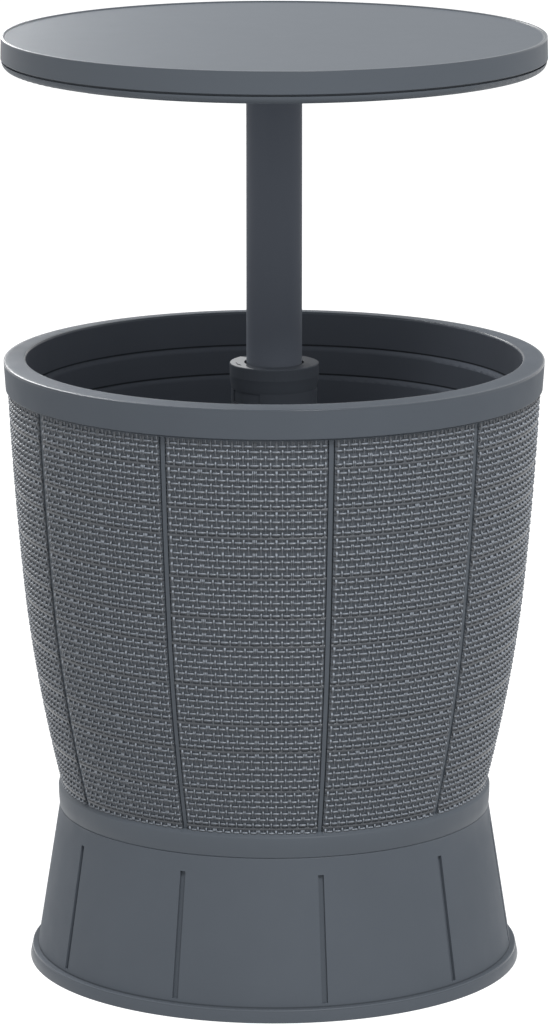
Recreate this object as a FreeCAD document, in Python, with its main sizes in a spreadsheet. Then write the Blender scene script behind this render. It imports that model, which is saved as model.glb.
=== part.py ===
import FreeCAD, Part
import math
import os
import re

import Sketcher

# A round cooler table. The tub stands on a conical foot, and a post in its middle carries the
# lid on a pole: the lid lifts up to be a table top, and a twist of it locks the pole.
# Millimetres, +Z up, origin on the floor under the middle of the tub, front towards -Y.

SIZES = {
    # clearances between pieces
    "foam_gap": 0.3,
    "fit_gap": 0.2,
    "running_gap": 0.08,
    "rest_gap": 0.3,
    # foot: a cone with a flange on the floor and a plate on top
    "flange_draft": 2,
    "flange_width": 5.2,
    "flange_height": 11.5,
    "flange_wall": 3.3,
    "flange_ledge": 3.5,
    "flange_round": 1.5,
    "skirt_flare": 21.1,
    "skirt_top_radius": 200.2,
    "skirt_wall": 5,
    "foot_height": 145.8,
    "plate_thickness": 4,
    "plate_width": 50.2,
    "seam_bevel": 0.8,
    # upright slots of the foot and grooves of the tub, which line up
    "panel_count": 10,
    "panel_turn": 30,
    "groove_angle": 1.45,
    "groove_depth": 3.2,
    "slot_foot_gap": 3.5,
    "slot_top_gap": 15.8,
    "slot_depth": 3,
    # tub shell: a smooth band at its foot, then the bowed wall that carries the weave
    "shell_wall": 5,
    "shell_floor": 5,
    "band_height": 20,
    "band_flare": 0.8,
    "band_round": 1.2,
    "band_step": 1.7,
    "weave_setback": 2.6,
    "waist_bulge": 31.6,
    "waist_rise": 172.5,
    "top_bulge": 14.7,
    "weave_height": 367.3,
    "lower_bow": 1390,
    "upper_bow": 3473,
    # level strands that stand on the weave's ground
    "relief_depth": 1.4,
    "strand_width": 3.2,
    "strand_flank": 0.75,
    "strand_round": 2.4,
    "neck_height": 4.5,
    "tongue_step": 1.1,
    # rim ring
    "rim_band_height": 27,
    "rim_overhang": 3.6,
    "rim_foot_overhang": 1.9,
    "rim_outer_round": 1.8,
    "rim_width": 18.4,
    "rim_crown": 1.4,
    "rim_inner_round": 1.5,
    "rim_plate": 4,
    # liner: a stepped well with two rounded ledges near its mouth
    "liner_wall": 3,
    "liner_flange": 2.5,
    "lip_width": 2,
    "lip_drop": 1.2,
    "ledge_width": 4.5,
    "upper_ledge_drop": 31.8,
    "ledge_spacing": 26.7,
    "liner_draft": 0.4,
    "floor_insulation": 51.2,
    "foot_insulation": 13.4,
    "corner_reach": 25,
    # screws of the foot, and the bosses that take them
    "base_screw_count": 6,
    "base_screw_inset": 25,
    "screw_radius": 2,
    "screw_head_radius": 4.5,
    "screw_head_height": 2.6,
    "screw_length": 14,
    "boss_radius": 6,
    "boss_height": 9,
    # post: a tube on the tub's floor, closed below by a plug
    "post_space": 11,
    "sleeve_wall": 3,
    "post_foot_height": 14,
    "post_screw_count": 3,
    "post_screw_inset": 14.3,
    "window_drop": 12.5,
    "window_height": 11,
    "window_angle": 51,
    "window_turn": 45,
    "window_count": 2,
    "tab_recess": 0.8,
    "key_count": 2,
    "key_angle": 6,
    "key_depth": 1.5,
    "key_turn": 90,
    "key_drop": 40,
    # seal between the post and the liner's floor
    "seal_width": 4.2,
    "seal_height": 6,
    "upstand_wall": 3,
    "upstand_height": 8,
    # collar on the post, and the bush in it
    "cap_overhang": 1.5,
    "cap_drop": 5.8,
    "cap_flange": 10.7,
    "cap_round": 1,
    "cap_bore_gap": 1.7,
    "bush_wall": 4.3,
    "bush_drop": 6.5,
    "bush_height": 36,
    "bush_flange": 3,
    "bush_flange_width": 4.2,
    # pole and the carriage at its foot
    "pole_radius": 25.5,
    "pole_wall": 1.5,
    "pole_end_gap": 1.9,
    "parking_gap": 6,
    "carriage_wall": 5.4,
    "carriage_floor": 6,
    "guide_ring_height": 9,
    "ring_spacing": 14.9,
    "spindle_radius": 8,
    "clip_radius": 13,
    "clip_thickness": 1.5,
    "clip_depth": 1,
    "spindle_tail": 1.2,
    "cam_inset": 5.5,
    "cam_offset": 1.2,
    "cam_height": 18,
    "cam_flange": 3,
    "cam_plug_height": 30,
    "rivet_radius": 2,
    "rivet_head_radius": 4,
    "rivet_head_height": 1,
    "rivet_length": 8,
    # brake shoe round the cam
    "shoe_margin": 0.5,
    "shoe_side_gap": 0.8,
    "shoe_slack": 0.3,
    "shoe_play": 1.5,
    "shoe_angle": 44,
    "pad_thickness": 2.35,
    "pad_gap": 0.15,
    "shoe_window_gap": 0.4,
    # lid
    "lid_thickness": 29.1,
    "lid_draft": 0.5,
    "lid_round": 1,
    "lid_lip_width": 3.7,
    "lid_lip_depth": 2.7,
    "lid_wall": 3,
    "lid_foot_inset": 7.5,
    "seam_drop": 20.4,
    "seam_gap": 2,
    "lid_tongue_height": 8,
    "lid_screw_count": 8,
    "lid_screw_inset": 27,
    # hub that takes the pole
    "hub_flange_width": 31.8,
    "hub_flange": 8,
    "hub_wall": 4.5,
    "hub_pin_radius": 3,
    "hub_pin_drop": 7,
    "hub_screw_count": 6,
    "hub_screw_length": 10,
    # drain
    "drain_nut_room": 5,
    "drain_turn": 40,
    "drain_bore_radius": 9.5,
    "drain_wall": 4,
    "drain_flange_width": 8.5,
    "drain_flange": 2.5,
    "drain_gasket": 1.2,
    "drain_tail": 18,
    "spout_length": 9,
    "spout_step": 1,
    "drain_nut_height": 8,
    "drain_nut_width": 6.5,
    "plug_overhang": 2.5,
    "plug_head_height": 5,
    "plug_chamfer": 1,
    "plug_stem_length": 15,
    "plug_fin_height": 10,
    "plug_fin_width": 18,
    "plug_fin_thickness": 4,
    "oring_thickness": 1.6,
    "oring_drop": 9,
}

# Places that follow from the sizes, each written in sizes or in other places.
PLACES = {
    "skirt_foot_radius": "skirt_top_radius + skirt_flare",
    "flange_top_radius": "skirt_foot_radius + flange_width",
    "flange_radius": "flange_top_radius + flange_draft",
    "plate_bore": "skirt_top_radius - plate_width",
    "base_screw_circle": "plate_bore + base_screw_inset",
    "slot_low": "flange_height + slot_foot_gap",
    "slot_high": "foot_height - slot_top_gap",
    "band_radius": "skirt_top_radius + band_flare",
    "weave_foot_radius": "band_radius - weave_setback",
    "waist_radius": "weave_foot_radius + waist_bulge",
    "weave_top_radius": "waist_radius + top_bulge",
    "ground_foot_radius": "weave_foot_radius - relief_depth",
    "ground_waist_radius": "waist_radius - relief_depth",
    "ground_top_radius": "weave_top_radius - relief_depth",
    "lower_swell": "waist_rise ^ 2 / (2 * lower_bow)",
    "upper_rise": "weave_height - waist_rise",
    "upper_swell": "upper_rise ^ 2 / (2 * upper_bow)",
    "waist_height": "weave_foot + waist_rise",
    "weave_top": "weave_foot + weave_height",
    "tongue_radius": "weave_top_radius - tongue_step",
    "rim_radius": "weave_top_radius + rim_overhang",
    "rim_foot_radius": "weave_top_radius + rim_foot_overhang",
    "rim_bore_radius": "rim_radius - rim_width",
    "rim_foot": "neck_top + rest_gap",
    "rim_top": "rim_foot + rim_band_height",
    "upper_ledge": "lip_top - upper_ledge_drop",
    "lower_ledge": "upper_ledge - ledge_spacing",
    "well_floor": "shell_floor_top + floor_insulation + liner_wall",
    "well_foot_radius": "weave_foot_radius - foot_insulation",
    "skirt_slope": "(skirt_foot_radius - skirt_top_radius) / (foot_height - flange_height)",
    "slot_low_radius": "skirt_top_radius + (foot_height - slot_low) * skirt_slope",
    "slot_high_radius": "skirt_top_radius + (foot_height - slot_high) * skirt_slope",
    "plate_underside": "foot_height - plate_thickness",
    "shell_floor_top": "foot_height + shell_floor",
    "band_top": "foot_height + band_height",
    "weave_foot": "band_top + band_step",
    "neck_top": "weave_top + neck_height",
    "rim_inner_top": "rim_top + rim_crown",
    "rim_underside": "rim_top - rim_plate",
    "tongue_top": "rim_underside - liner_flange",
    "shell_inner_top_radius": "weave_top_radius - shell_wall",
    "shell_inner_waist_radius": "waist_radius - shell_wall",
    "shell_inner_foot_radius": "weave_foot_radius - shell_wall",
    "lip_outer_radius": "rim_bore_radius - fit_gap",
    "lip_inner_radius": "lip_outer_radius - lip_width",
    "lip_top": "rim_inner_top - lip_drop",
    "lip_round": "lip_width / 2",
    "middle_wall_radius": "lip_inner_radius - ledge_width",
    "lower_wall_radius": "middle_wall_radius - liner_draft - ledge_width",
    "well_underside": "well_floor - liner_wall",
    "wall_lean": "atan((lower_wall_radius - well_foot_radius)"
                 " / (lower_ledge - ledge_width - well_floor))",
    "corner_end_radius": "well_foot_radius + corner_reach * sin(wall_lean)",
    "corner_end": "well_floor + corner_reach * cos(wall_lean)",
    "corner_start_radius": "well_foot_radius - corner_reach",
    "corner_bend": "corner_reach * tan(45 deg + wall_lean / 2)",
    "ledge_back": "ledge_width / 3",
    "pilot_radius": "screw_radius + fit_gap / 4",
    "sleeve_bore_radius": "pole_radius + post_space",
    "sleeve_radius": "sleeve_bore_radius + sleeve_wall",
    "sleeve_hole_radius": "sleeve_radius + fit_gap",
    "upstand_radius": "sleeve_hole_radius + seal_width + fit_gap",
    "cap_radius": "sleeve_radius + cap_overhang",
    "cap_top": "rim_inner_top - cap_drop",
    "cap_underside": "cap_top - cap_flange",
    "window_high": "cap_underside - window_drop",
    "window_low": "window_high - window_height",
    "spigot_radius": "sleeve_bore_radius - fit_gap",
    "cap_bore_radius": "pole_radius + cap_bore_gap",
    "bush_bore_radius": "pole_radius + running_gap",
    "bush_radius": "pole_radius + bush_wall",
    "bush_top": "cap_top - bush_drop",
    "bush_foot": "bush_top - bush_height",
    "key_top": "bush_foot",
    "post_screw_circle": "spigot_radius - post_screw_inset",
    "post_foot_top": "shell_floor_top + post_foot_height",
    "carriage_top": "bush_foot - rest_gap",
    "carriage_height": "carriage_floor + shoe_margin + cam_height + cam_flange"
                       " + cam_plug_height + ring_spacing + guide_ring_height",
    "carriage_foot": "carriage_top - carriage_height",
    "lift_travel": "carriage_foot - parking_gap - post_foot_top",
    "carriage_radius": "sleeve_bore_radius - running_gap",
    "carriage_bore_radius": "carriage_radius - carriage_wall",
    "carriage_floor_top": "carriage_foot + carriage_floor",
    "guide_ring_foot": "carriage_top - guide_ring_height",
    "cam_radius": "pole_radius - cam_inset",
    "cam_foot": "carriage_floor_top + shoe_margin",
    "cam_top": "cam_foot + cam_height",
    "pole_foot": "cam_top + cam_flange",
    "shoe_foot": "cam_foot + shoe_margin",
    "shoe_top": "cam_top - shoe_margin",
    "shoe_radius": "carriage_bore_radius - shoe_side_gap",
    "shoe_hole_radius": "cam_radius + shoe_slack",
    "pad_radius": "sleeve_bore_radius - pad_gap",
    "shoe_tip_radius": "pad_radius - pad_thickness",
    "shoe_half_width": "pad_radius * sin(shoe_angle / 2)",
    "clip_top": "carriage_foot - rest_gap",
    "clip_foot": "clip_top - clip_thickness",
    "clip_bore_radius": "spindle_radius - clip_depth",
    "spindle_foot": "clip_foot - spindle_tail",
    "pole_bore_radius": "pole_radius - pole_wall",
    "rivet_height": "pole_foot + cam_plug_height / 2",
    "lid_radius": "rim_radius",
    "lid_lip_radius": "lid_radius - lid_draft",
    "lid_foot_radius": "lid_radius - lid_foot_inset",
    "lid_underside": "rim_inner_top + rest_gap + lift_travel",
    "lid_top": "lid_underside + lid_thickness",
    "lid_recess": "lid_top - lid_lip_depth",
    "lid_ceiling": "lid_recess - lid_wall",
    "lid_floor": "lid_underside + lid_wall",
    "seam_top": "lid_top - seam_drop",
    "seam_foot": "seam_top - seam_gap",
    "lid_tongue_radius": "lid_radius - lid_wall - 2 * fit_gap",
    "lid_tongue_bore": "lid_tongue_radius - lid_wall",
    "lid_bend": "seam_foot - lid_underside",
    "lid_rim_radius": "lid_foot_radius + lid_bend",
    "lid_screw_circle": "lid_tongue_bore - lid_screw_inset",
    "hub_flange_top": "lid_floor + hub_flange",
    "hub_bore_radius": "pole_radius + fit_gap",
    "hub_radius": "hub_bore_radius + hub_wall",
    "hub_flange_radius": "hub_radius + hub_flange_width",
    "hub_screw_circle": "(hub_radius + hub_flange_radius) / 2",
    "pole_top": "lid_ceiling - pole_end_gap",
    "hub_top": "lid_ceiling - foam_gap",
    "hub_pin_height": "pole_top - hub_pin_drop",
    "drain_radius": "drain_bore_radius + drain_wall",
    "drain_flange_radius": "drain_radius + drain_flange_width",
    "drain_nut_radius": "drain_radius + drain_nut_width",
    "drain_nut_foot": "foot_height - drain_nut_height",
    "drain_reach": "plate_bore - drain_nut_radius - drain_nut_room",
    "drain_hole_radius": "drain_radius + fit_gap",
    "drain_flange_foot": "well_floor + drain_gasket",
    "drain_mouth": "drain_flange_foot + drain_flange",
    "drain_foot": "foot_height - drain_tail",
    "spout_radius": "drain_radius - spout_step",
    "spout_top": "drain_foot + spout_length",
    "plug_stem_radius": "drain_bore_radius - 4 * running_gap",
    "plug_head_radius": "drain_bore_radius + plug_overhang",
    "plug_foot": "drain_mouth - plug_stem_length",
    "plug_head_top": "drain_mouth + plug_head_height",
    "oring_height": "drain_mouth - oring_drop",
    "oring_outer_radius": "drain_bore_radius - running_gap",
    "oring_inner_radius": "oring_outer_radius - oring_thickness",
}

WORD = re.compile(r"[a-z][a-z_]*")
FULL_TURN = 360
LEVEL_STRANDS = 7

document = FreeCAD.newDocument("cooler_table")
sheet = document.addObject("Spreadsheet::Sheet", "Sizes")


def fill_sheet():
    """Write each size to the sheet, with its name beside it as the cell's alias."""
    for row, (name, size) in enumerate(SIZES.items(), start=1):
        sheet.set(f"A{row}", name)
        sheet.set(f"B{row}", str(size))
        sheet.setAlias(f"B{row}", name)
    document.recompute()


def formula(text):
    """Return text with its places written out and its sizes named as the sheet's cells."""
    def swap(match):
        word = match.group(0)
        if word in SIZES:
            return f"Sizes.{word}"
        if word in PLACES:
            return f"({formula(PLACES[word])})"
        return word
    return WORD.sub(swap, text)


def number(text):
    """Return what a formula comes to with the sheet's sizes."""
    result = sheet.evalExpression(formula(text))
    return float(getattr(result, "Value", result))


def origin_part(body, role):
    """Return the plane or axis of a body's own origin that has this role."""
    return next(item for item in body.Origin.OriginFeatures if item.Role == role)


def arc_between(start, end, radius, turn):
    """Return the arc from start to end that turns left or right, and if it runs backwards."""
    chord = end - start
    half = chord.Length / 2
    side = FreeCAD.Vector(-chord.y, chord.x, 0).normalize() * (1 if turn == "left" else -1)
    middle = (start + end) / 2 + side * math.sqrt(max(radius ** 2 - half ** 2, 0))
    first, last = (start, end) if turn == "left" else (end, start)
    first_angle = math.atan2(first.y - middle.y, first.x - middle.x)
    last_angle = math.atan2(last.y - middle.y, last.x - middle.x)
    if last_angle <= first_angle:
        last_angle += 2 * math.pi
    circle = Part.Circle(middle, FreeCAD.Vector(0, 0, 1), radius)
    return Part.ArcOfCircle(circle, first_angle, last_angle), turn == "right"


def tie(sketch, kind, references, text, label):
    """Add a constraint to a sketch and let the sheet drive it."""
    index = sketch.addConstraint(Sketcher.Constraint(kind, *references, number(text)))
    sketch.renameConstraint(index, label)
    sketch.setExpression(f"Constraints.{label}", formula(text))


def draw(body, name, plane, corners):
    """Draw a closed outline on one of the body's planes.

    Each corner is (across, up), or (across, up, radius, turn) where an arc that turns left or
    right leads to the next corner.
    """
    sketch = body.newObject("Sketcher::SketchObject", name)
    sketch.AttachmentSupport = [(origin_part(body, plane), "")]
    sketch.MapMode = "FlatFace"
    points = [FreeCAD.Vector(number(corner[0]), number(corner[1]), 0) for corner in corners]
    ends = []
    for index, corner in enumerate(corners):
        start = points[index]
        end = points[(index + 1) % len(points)]
        backwards = False
        edge = Part.LineSegment(start, end)
        if len(corner) == 4:
            edge, backwards = arc_between(start, end, number(corner[2]), corner[3])
        place = sketch.addGeometry(edge)
        ends.append((place, 2, 1) if backwards else (place, 1, 2))
    for index, corner in enumerate(corners):
        place, start_end, _ = ends[index]
        before, _, before_end = ends[index - 1]
        sketch.addConstraint(Sketcher.Constraint("Coincident", before, before_end, place, start_end))
        for kind, text, axis, label in (("DistanceX", corner[0], -2, "across"),
                                        ("DistanceY", corner[1], -1, "up")):
            if text == "0":
                sketch.addConstraint(Sketcher.Constraint("PointOnObject", place, start_end, axis))
            else:
                tie(sketch, kind, (-1, 1, place, start_end), text, f"corner_{index}_{label}")
        if len(corner) == 4:
            tie(sketch, "Radius", (place,), corner[2], f"arc_{index}")
    return sketch


def start_body(name):
    """Start a body whose label is its node's name."""
    body = document.addObject("PartDesign::Body", name)
    body.Label = name
    return body


def spin(body, name, corners, cut=False, centre=None, phase=None, angle=None, along="V_Axis",
         lift=None):
    """Turn an upright outline round an axis, to add it to the body or cut it away.

    The axis is upright through the origin, or through centre, which is (reach, angle). phase
    turns the outline's plane about the origin, angle is the sector that is swept, half to each
    side, and along="H_Axis" with lift turns it round a level axis at that height.
    """
    sketch = draw(body, name + "_outline", "XZ_Plane", corners)
    if centre:
        reach, turn = centre
        sketch.setExpression("AttachmentOffset.Base.x", formula(f"({reach}) * cos({turn})"))
        sketch.setExpression("AttachmentOffset.Base.z", formula(f"-({reach}) * sin({turn})"))
    if lift:
        sketch.setExpression("AttachmentOffset.Base.y", formula(lift))
    if phase:
        sketch.AttachmentOffset = FreeCAD.Placement(FreeCAD.Vector(),
                                                    FreeCAD.Rotation(FreeCAD.Vector(0, 1, 0), 1))
        sketch.setExpression("AttachmentOffset.Rotation.Angle", formula(phase))
    kind = "PartDesign::Groove" if cut else "PartDesign::Revolution"
    feature = body.newObject(kind, name)
    feature.Profile = sketch
    feature.ReferenceAxis = (sketch, [along])
    feature.Angle = FULL_TURN
    if angle:
        feature.Midplane = True
        feature.setExpression("Angle", formula(angle))
    body.Tip = feature
    return feature


def block(low, high, inner, outer):
    """Return a rectangular outline between two heights and two distances from the axis."""
    return [(inner, low), (outer, low), (outer, high), (inner, high)]


def raise_outline(body, name, corners, low, high, cut=False, centre=None):
    """Pad a level outline between two heights, or cut it away."""
    sketch = draw(body, name + "_outline", "XY_Plane", corners)
    sketch.setExpression("AttachmentOffset.Base.z", formula(low))
    if centre:
        reach, turn = centre
        sketch.setExpression("AttachmentOffset.Base.x", formula(f"({reach}) * cos({turn})"))
        sketch.setExpression("AttachmentOffset.Base.y", formula(f"({reach}) * sin({turn})"))
    feature = body.newObject("PartDesign::Pocket" if cut else "PartDesign::Pad", name)
    feature.Profile = sketch
    feature.Reversed = cut
    feature.setExpression("Length", formula(f"({high}) - ({low})"))
    body.Tip = feature
    return feature


def repeat(body, feature, count):
    """Copy a feature evenly round the middle axis."""
    pattern = body.newObject("PartDesign::PolarPattern", feature.Name + "_ring")
    pattern.Originals = [feature]
    pattern.Axis = (origin_part(body, "Z_Axis"), [""])
    pattern.Angle = FULL_TURN
    pattern.setExpression("Occurrences", formula(count))
    body.Tip = pattern
    return pattern


def drill(body, name, radius, low, high, centre, count=None):
    """Cut an upright hole between two heights, or a ring of them."""
    hole = spin(body, name, block(low, high, "0", radius), cut=True, centre=centre)
    if count:
        repeat(body, hole, count)


def ring_body(name, low, high, inner, outer, centre=None):
    """Return a plain ring, or a disc if inner is 0."""
    body = start_body(name)
    spin(body, name + "_ring", block(low, high, inner, outer), centre=centre)
    return body


def screw_ring(name, head_foot, length, circle, count, turn):
    """Return a ring of pan head screws that point up, as separate solids."""
    body = start_body(name)
    head_top = f"({head_foot}) + screw_head_height"
    outline = [
        ("0", head_foot),
        ("screw_head_radius * 0.8", head_foot),
        ("screw_head_radius", f"({head_foot}) + screw_head_height * 0.4"),
        ("screw_head_radius", head_top),
        ("screw_radius", head_top),
        ("screw_radius", f"({head_top}) + ({length}) - screw_radius"),
        ("0", f"({head_top}) + ({length})"),
    ]
    screw = spin(body, name + "_screw", outline, centre=(circle, turn))
    repeat(body, screw, count)
    return body


# Foot

def build_base_skirt():
    """Build the conical foot: flange on the floor, slotted skirt, and the plate under the tub."""
    body = start_body("base_skirt")
    spin(body, "skirt_wall_and_plate", [
        ("plate_bore", "foot_height"),
        ("skirt_top_radius - seam_bevel", "foot_height"),
        ("skirt_top_radius", "foot_height - seam_bevel"),
        ("skirt_foot_radius", "flange_height"),
        ("flange_top_radius - flange_round", "flange_height", "flange_round", "right"),
        ("flange_top_radius", "flange_height - flange_round"),
        ("flange_radius", "0"),
        ("flange_radius - flange_wall", "0"),
        ("flange_top_radius - flange_wall", "flange_height - flange_ledge"),
        ("skirt_foot_radius - skirt_wall", "flange_height - flange_ledge"),
        ("skirt_top_radius - skirt_wall", "plate_underside"),
        ("plate_bore", "plate_underside"),
    ])
    slot = spin(body, "skirt_slot", [
        ("slot_low_radius - slot_depth", "slot_low"),
        ("slot_low_radius + slot_depth", "slot_low"),
        ("slot_high_radius + slot_depth", "slot_high"),
        ("slot_high_radius - slot_depth", "slot_high"),
    ], cut=True, phase="panel_turn", angle="groove_angle")
    repeat(body, slot, "panel_count")
    drill(body, "plate_hole", "pilot_radius", "plate_underside", "foot_height",
          ("base_screw_circle", "0"), "base_screw_count")
    return body


def build_base_screws():
    """Build the screws that hold the foot to the tub, from below."""
    return screw_ring("base_screws", "plate_underside - screw_head_height", "screw_length",
                      "base_screw_circle", "base_screw_count", "0")


# Tub

def ground_radius(rise):
    """Return the radius of the weave's ground at a rise above its foot."""
    if number(rise) < number("waist_rise"):
        share = f"(({rise}) / waist_rise)"
        return f"ground_foot_radius + waist_bulge * {share} + lower_swell * {share} * (1 - {share})"
    share = f"((({rise}) - waist_rise) / upper_rise)"
    return f"ground_waist_radius + top_bulge * {share} + upper_swell * {share} * (1 - {share})"


def woven_wall():
    """Return the woven wall's outline, from its foot to its top, with the level strands."""
    corners = [("ground_foot_radius", "weave_foot", "lower_bow", "left")]
    bow = "lower_bow"
    for place in range(1, LEVEL_STRANDS + 1):
        middle = f"weave_height * {place} / {LEVEL_STRANDS + 1}"
        low = f"{middle} - strand_width / 2"
        high = f"{middle} + strand_width / 2"
        if bow == "lower_bow" and number(low) > number("waist_rise"):
            bow = "upper_bow"
            corners.append(("ground_waist_radius", "waist_height", bow, "left"))
        corners += [
            (ground_radius(low), f"weave_foot + {low}"),
            (f"{ground_radius(low)} + strand_flank", f"weave_foot + {low}", "strand_round", "left"),
            (f"{ground_radius(high)} + strand_flank", f"weave_foot + {high}"),
            (ground_radius(high), f"weave_foot + {high}", bow, "left"),
        ]
    return corners + [("ground_top_radius", "weave_top")]


def build_weave_shell():
    """Build the tub's outer shell, with its level strands, grooves and screw bosses."""
    body = start_body("weave_shell")
    spin(body, "shell_wall_and_floor", [
        ("0", "foot_height"),
        ("skirt_top_radius - seam_bevel", "foot_height"),
        ("skirt_top_radius", "foot_height + seam_bevel"),
        ("band_radius", "band_top - band_round", "band_round", "left"),
        ("band_radius - band_round", "band_top"),
        *woven_wall(),
        ("weave_top_radius", "weave_top"),
        ("weave_top_radius", "neck_top"),
        ("tongue_radius", "neck_top"),
        ("tongue_radius", "tongue_top"),
        ("shell_inner_top_radius", "tongue_top"),
        ("shell_inner_top_radius", "weave_top", "upper_bow", "right"),
        ("shell_inner_waist_radius", "waist_height", "lower_bow", "right"),
        ("shell_inner_foot_radius", "weave_foot"),
        ("shell_inner_foot_radius", "shell_floor_top"),
        ("0", "shell_floor_top"),
    ])
    groove = spin(body, "weave_groove", [
        ("weave_foot_radius - groove_depth", "weave_foot", "lower_bow", "left"),
        ("waist_radius - groove_depth", "waist_height", "upper_bow", "left"),
        ("weave_top_radius - groove_depth", "weave_top"),
        ("weave_top_radius + groove_depth", "weave_top", "upper_bow", "right"),
        ("waist_radius + groove_depth", "waist_height", "lower_bow", "right"),
        ("weave_foot_radius + groove_depth", "weave_foot"),
    ], cut=True, phase="panel_turn", angle="groove_angle")
    repeat(body, groove, "panel_count")
    boss = spin(body, "floor_boss", block("shell_floor_top - shell_floor / 2",
                                          "shell_floor_top + boss_height", "0", "boss_radius"),
                centre=("base_screw_circle", "0"))
    repeat(body, boss, "base_screw_count")
    drill(body, "boss_pilot", "pilot_radius", "foot_height",
          "plate_underside + screw_length + rest_gap",
          ("base_screw_circle", "0"), "base_screw_count")
    drill(body, "post_screw_hole", "pilot_radius", "foot_height", "shell_floor_top",
          ("post_screw_circle", "0"), "post_screw_count")
    drill(body, "shell_drain_hole", "drain_hole_radius", "foot_height", "shell_floor_top",
          ("drain_reach", "drain_turn"))
    return body


def build_rim_ring():
    """Build the ring that caps the tub: its top slopes from a raised inner edge."""
    body = start_body("rim_ring")
    spin(body, "rim_section", [
        ("rim_bore_radius", "rim_underside"),
        ("rim_bore_radius", "rim_inner_top - rim_inner_round", "rim_inner_round", "right"),
        ("rim_bore_radius + rim_inner_round", "rim_inner_top"),
        ("rim_radius - rim_outer_round", "rim_top", "rim_outer_round", "right"),
        ("rim_radius", "rim_top - rim_outer_round"),
        ("rim_foot_radius", "rim_foot"),
        ("tongue_radius + fit_gap", "rim_foot"),
        ("tongue_radius + fit_gap", "rim_underside"),
    ])
    return body


def build_liner():
    """Build the inner tub: floor, leaning wall, two rounded ledges, lip and flange."""
    body = start_body("liner")
    spin(body, "liner_section", [
        ("sleeve_hole_radius", "well_floor"),
        ("corner_start_radius", "well_floor", "corner_bend", "left"),
        ("corner_end_radius", "corner_end"),
        ("lower_wall_radius", "lower_ledge - ledge_width", "ledge_width", "right"),
        ("lower_wall_radius + ledge_width", "lower_ledge"),
        ("middle_wall_radius", "upper_ledge - ledge_width", "ledge_width", "right"),
        ("lip_inner_radius", "upper_ledge"),
        ("lip_inner_radius", "lip_top - lip_round", "lip_round", "right"),
        ("lip_inner_radius + lip_round", "lip_top", "lip_round", "right"),
        ("lip_outer_radius", "lip_top - lip_round"),
        ("lip_outer_radius", "rim_underside"),
        ("tongue_radius", "rim_underside"),
        ("tongue_radius", "tongue_top"),
        ("lip_inner_radius + liner_wall", "tongue_top"),
        ("lip_inner_radius + liner_wall", "upper_ledge - ledge_back"),
        ("middle_wall_radius + liner_wall", "upper_ledge - ledge_width - ledge_back"),
        ("lower_wall_radius + ledge_width + liner_wall", "lower_ledge - ledge_back"),
        ("lower_wall_radius + liner_wall", "lower_ledge - ledge_width - ledge_back"),
        ("corner_end_radius + liner_wall", "corner_end", "corner_bend + liner_wall", "right"),
        ("corner_start_radius", "well_underside"),
        ("sleeve_hole_radius", "well_underside"),
    ])
    spin(body, "seal_upstand", block("well_floor - liner_wall / 2", "well_floor + upstand_height",
                                     "upstand_radius", "upstand_radius + upstand_wall"))
    drill(body, "liner_drain_hole", "drain_hole_radius", "well_underside", "well_floor",
          ("drain_reach", "drain_turn"))
    return body


def build_foam_jacket():
    """Build the insulation between the liner's wall and the tub shell."""
    body = start_body("foam_jacket")
    spin(body, "jacket_section", [
        ("corner_start_radius", "shell_floor_top + foam_gap"),
        ("shell_inner_foot_radius - foam_gap", "shell_floor_top + foam_gap"),
        ("shell_inner_foot_radius - foam_gap", "weave_foot", "lower_bow", "left"),
        ("shell_inner_waist_radius - foam_gap", "waist_height", "upper_bow", "left"),
        ("shell_inner_top_radius - foam_gap", "weave_top"),
        ("shell_inner_top_radius - foam_gap", "tongue_top - foam_gap"),
        ("lip_inner_radius + liner_wall + foam_gap", "tongue_top - foam_gap"),
        ("lip_inner_radius + liner_wall + foam_gap", "upper_ledge - ledge_back - foam_gap"),
        ("middle_wall_radius + liner_wall + foam_gap",
         "upper_ledge - ledge_width - ledge_back - foam_gap"),
        ("lower_wall_radius + ledge_width + liner_wall + foam_gap",
         "lower_ledge - ledge_back - foam_gap"),
        ("lower_wall_radius + liner_wall + foam_gap",
         "lower_ledge - ledge_width - ledge_back - foam_gap"),
        ("corner_end_radius + liner_wall + foam_gap", "corner_end",
         "corner_bend + liner_wall + foam_gap", "right"),
        ("corner_start_radius", "well_underside - foam_gap"),
    ])
    drill(body, "jacket_boss_hole", "boss_radius + foam_gap", "shell_floor_top",
          "shell_floor_top + boss_height + foam_gap", ("base_screw_circle", "0"),
          "base_screw_count")
    return body


def build_foam_floor():
    """Build the insulation under the liner's floor, with holes for the post and the drain."""
    body = ring_body("foam_floor", "shell_floor_top + foam_gap", "well_underside - foam_gap",
                     "sleeve_hole_radius + foam_gap", "corner_start_radius - foam_gap")
    drill(body, "foam_drain_hole", "drain_hole_radius", "shell_floor_top", "well_underside",
          ("drain_reach", "drain_turn"))
    return body


# Post

def build_post_sleeve():
    """Build the tube in the tub's middle, with snap windows and two inner key ribs."""
    body = ring_body("post_sleeve", "shell_floor_top", "cap_underside", "sleeve_bore_radius",
                     "sleeve_radius")
    window = spin(body, "snap_window", block("window_low", "window_high",
                                             "sleeve_bore_radius - sleeve_wall",
                                             "sleeve_radius + sleeve_wall"),
                  cut=True, phase="window_turn", angle="window_angle")
    repeat(body, window, "window_count")
    key = spin(body, "key_rib", block("post_foot_top + rest_gap", "key_top - key_drop",
                                      "sleeve_bore_radius - key_depth",
                                      "sleeve_radius - sleeve_wall / 2"),
               phase="key_turn", angle="key_angle")
    repeat(body, key, "key_count")
    return body


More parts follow.
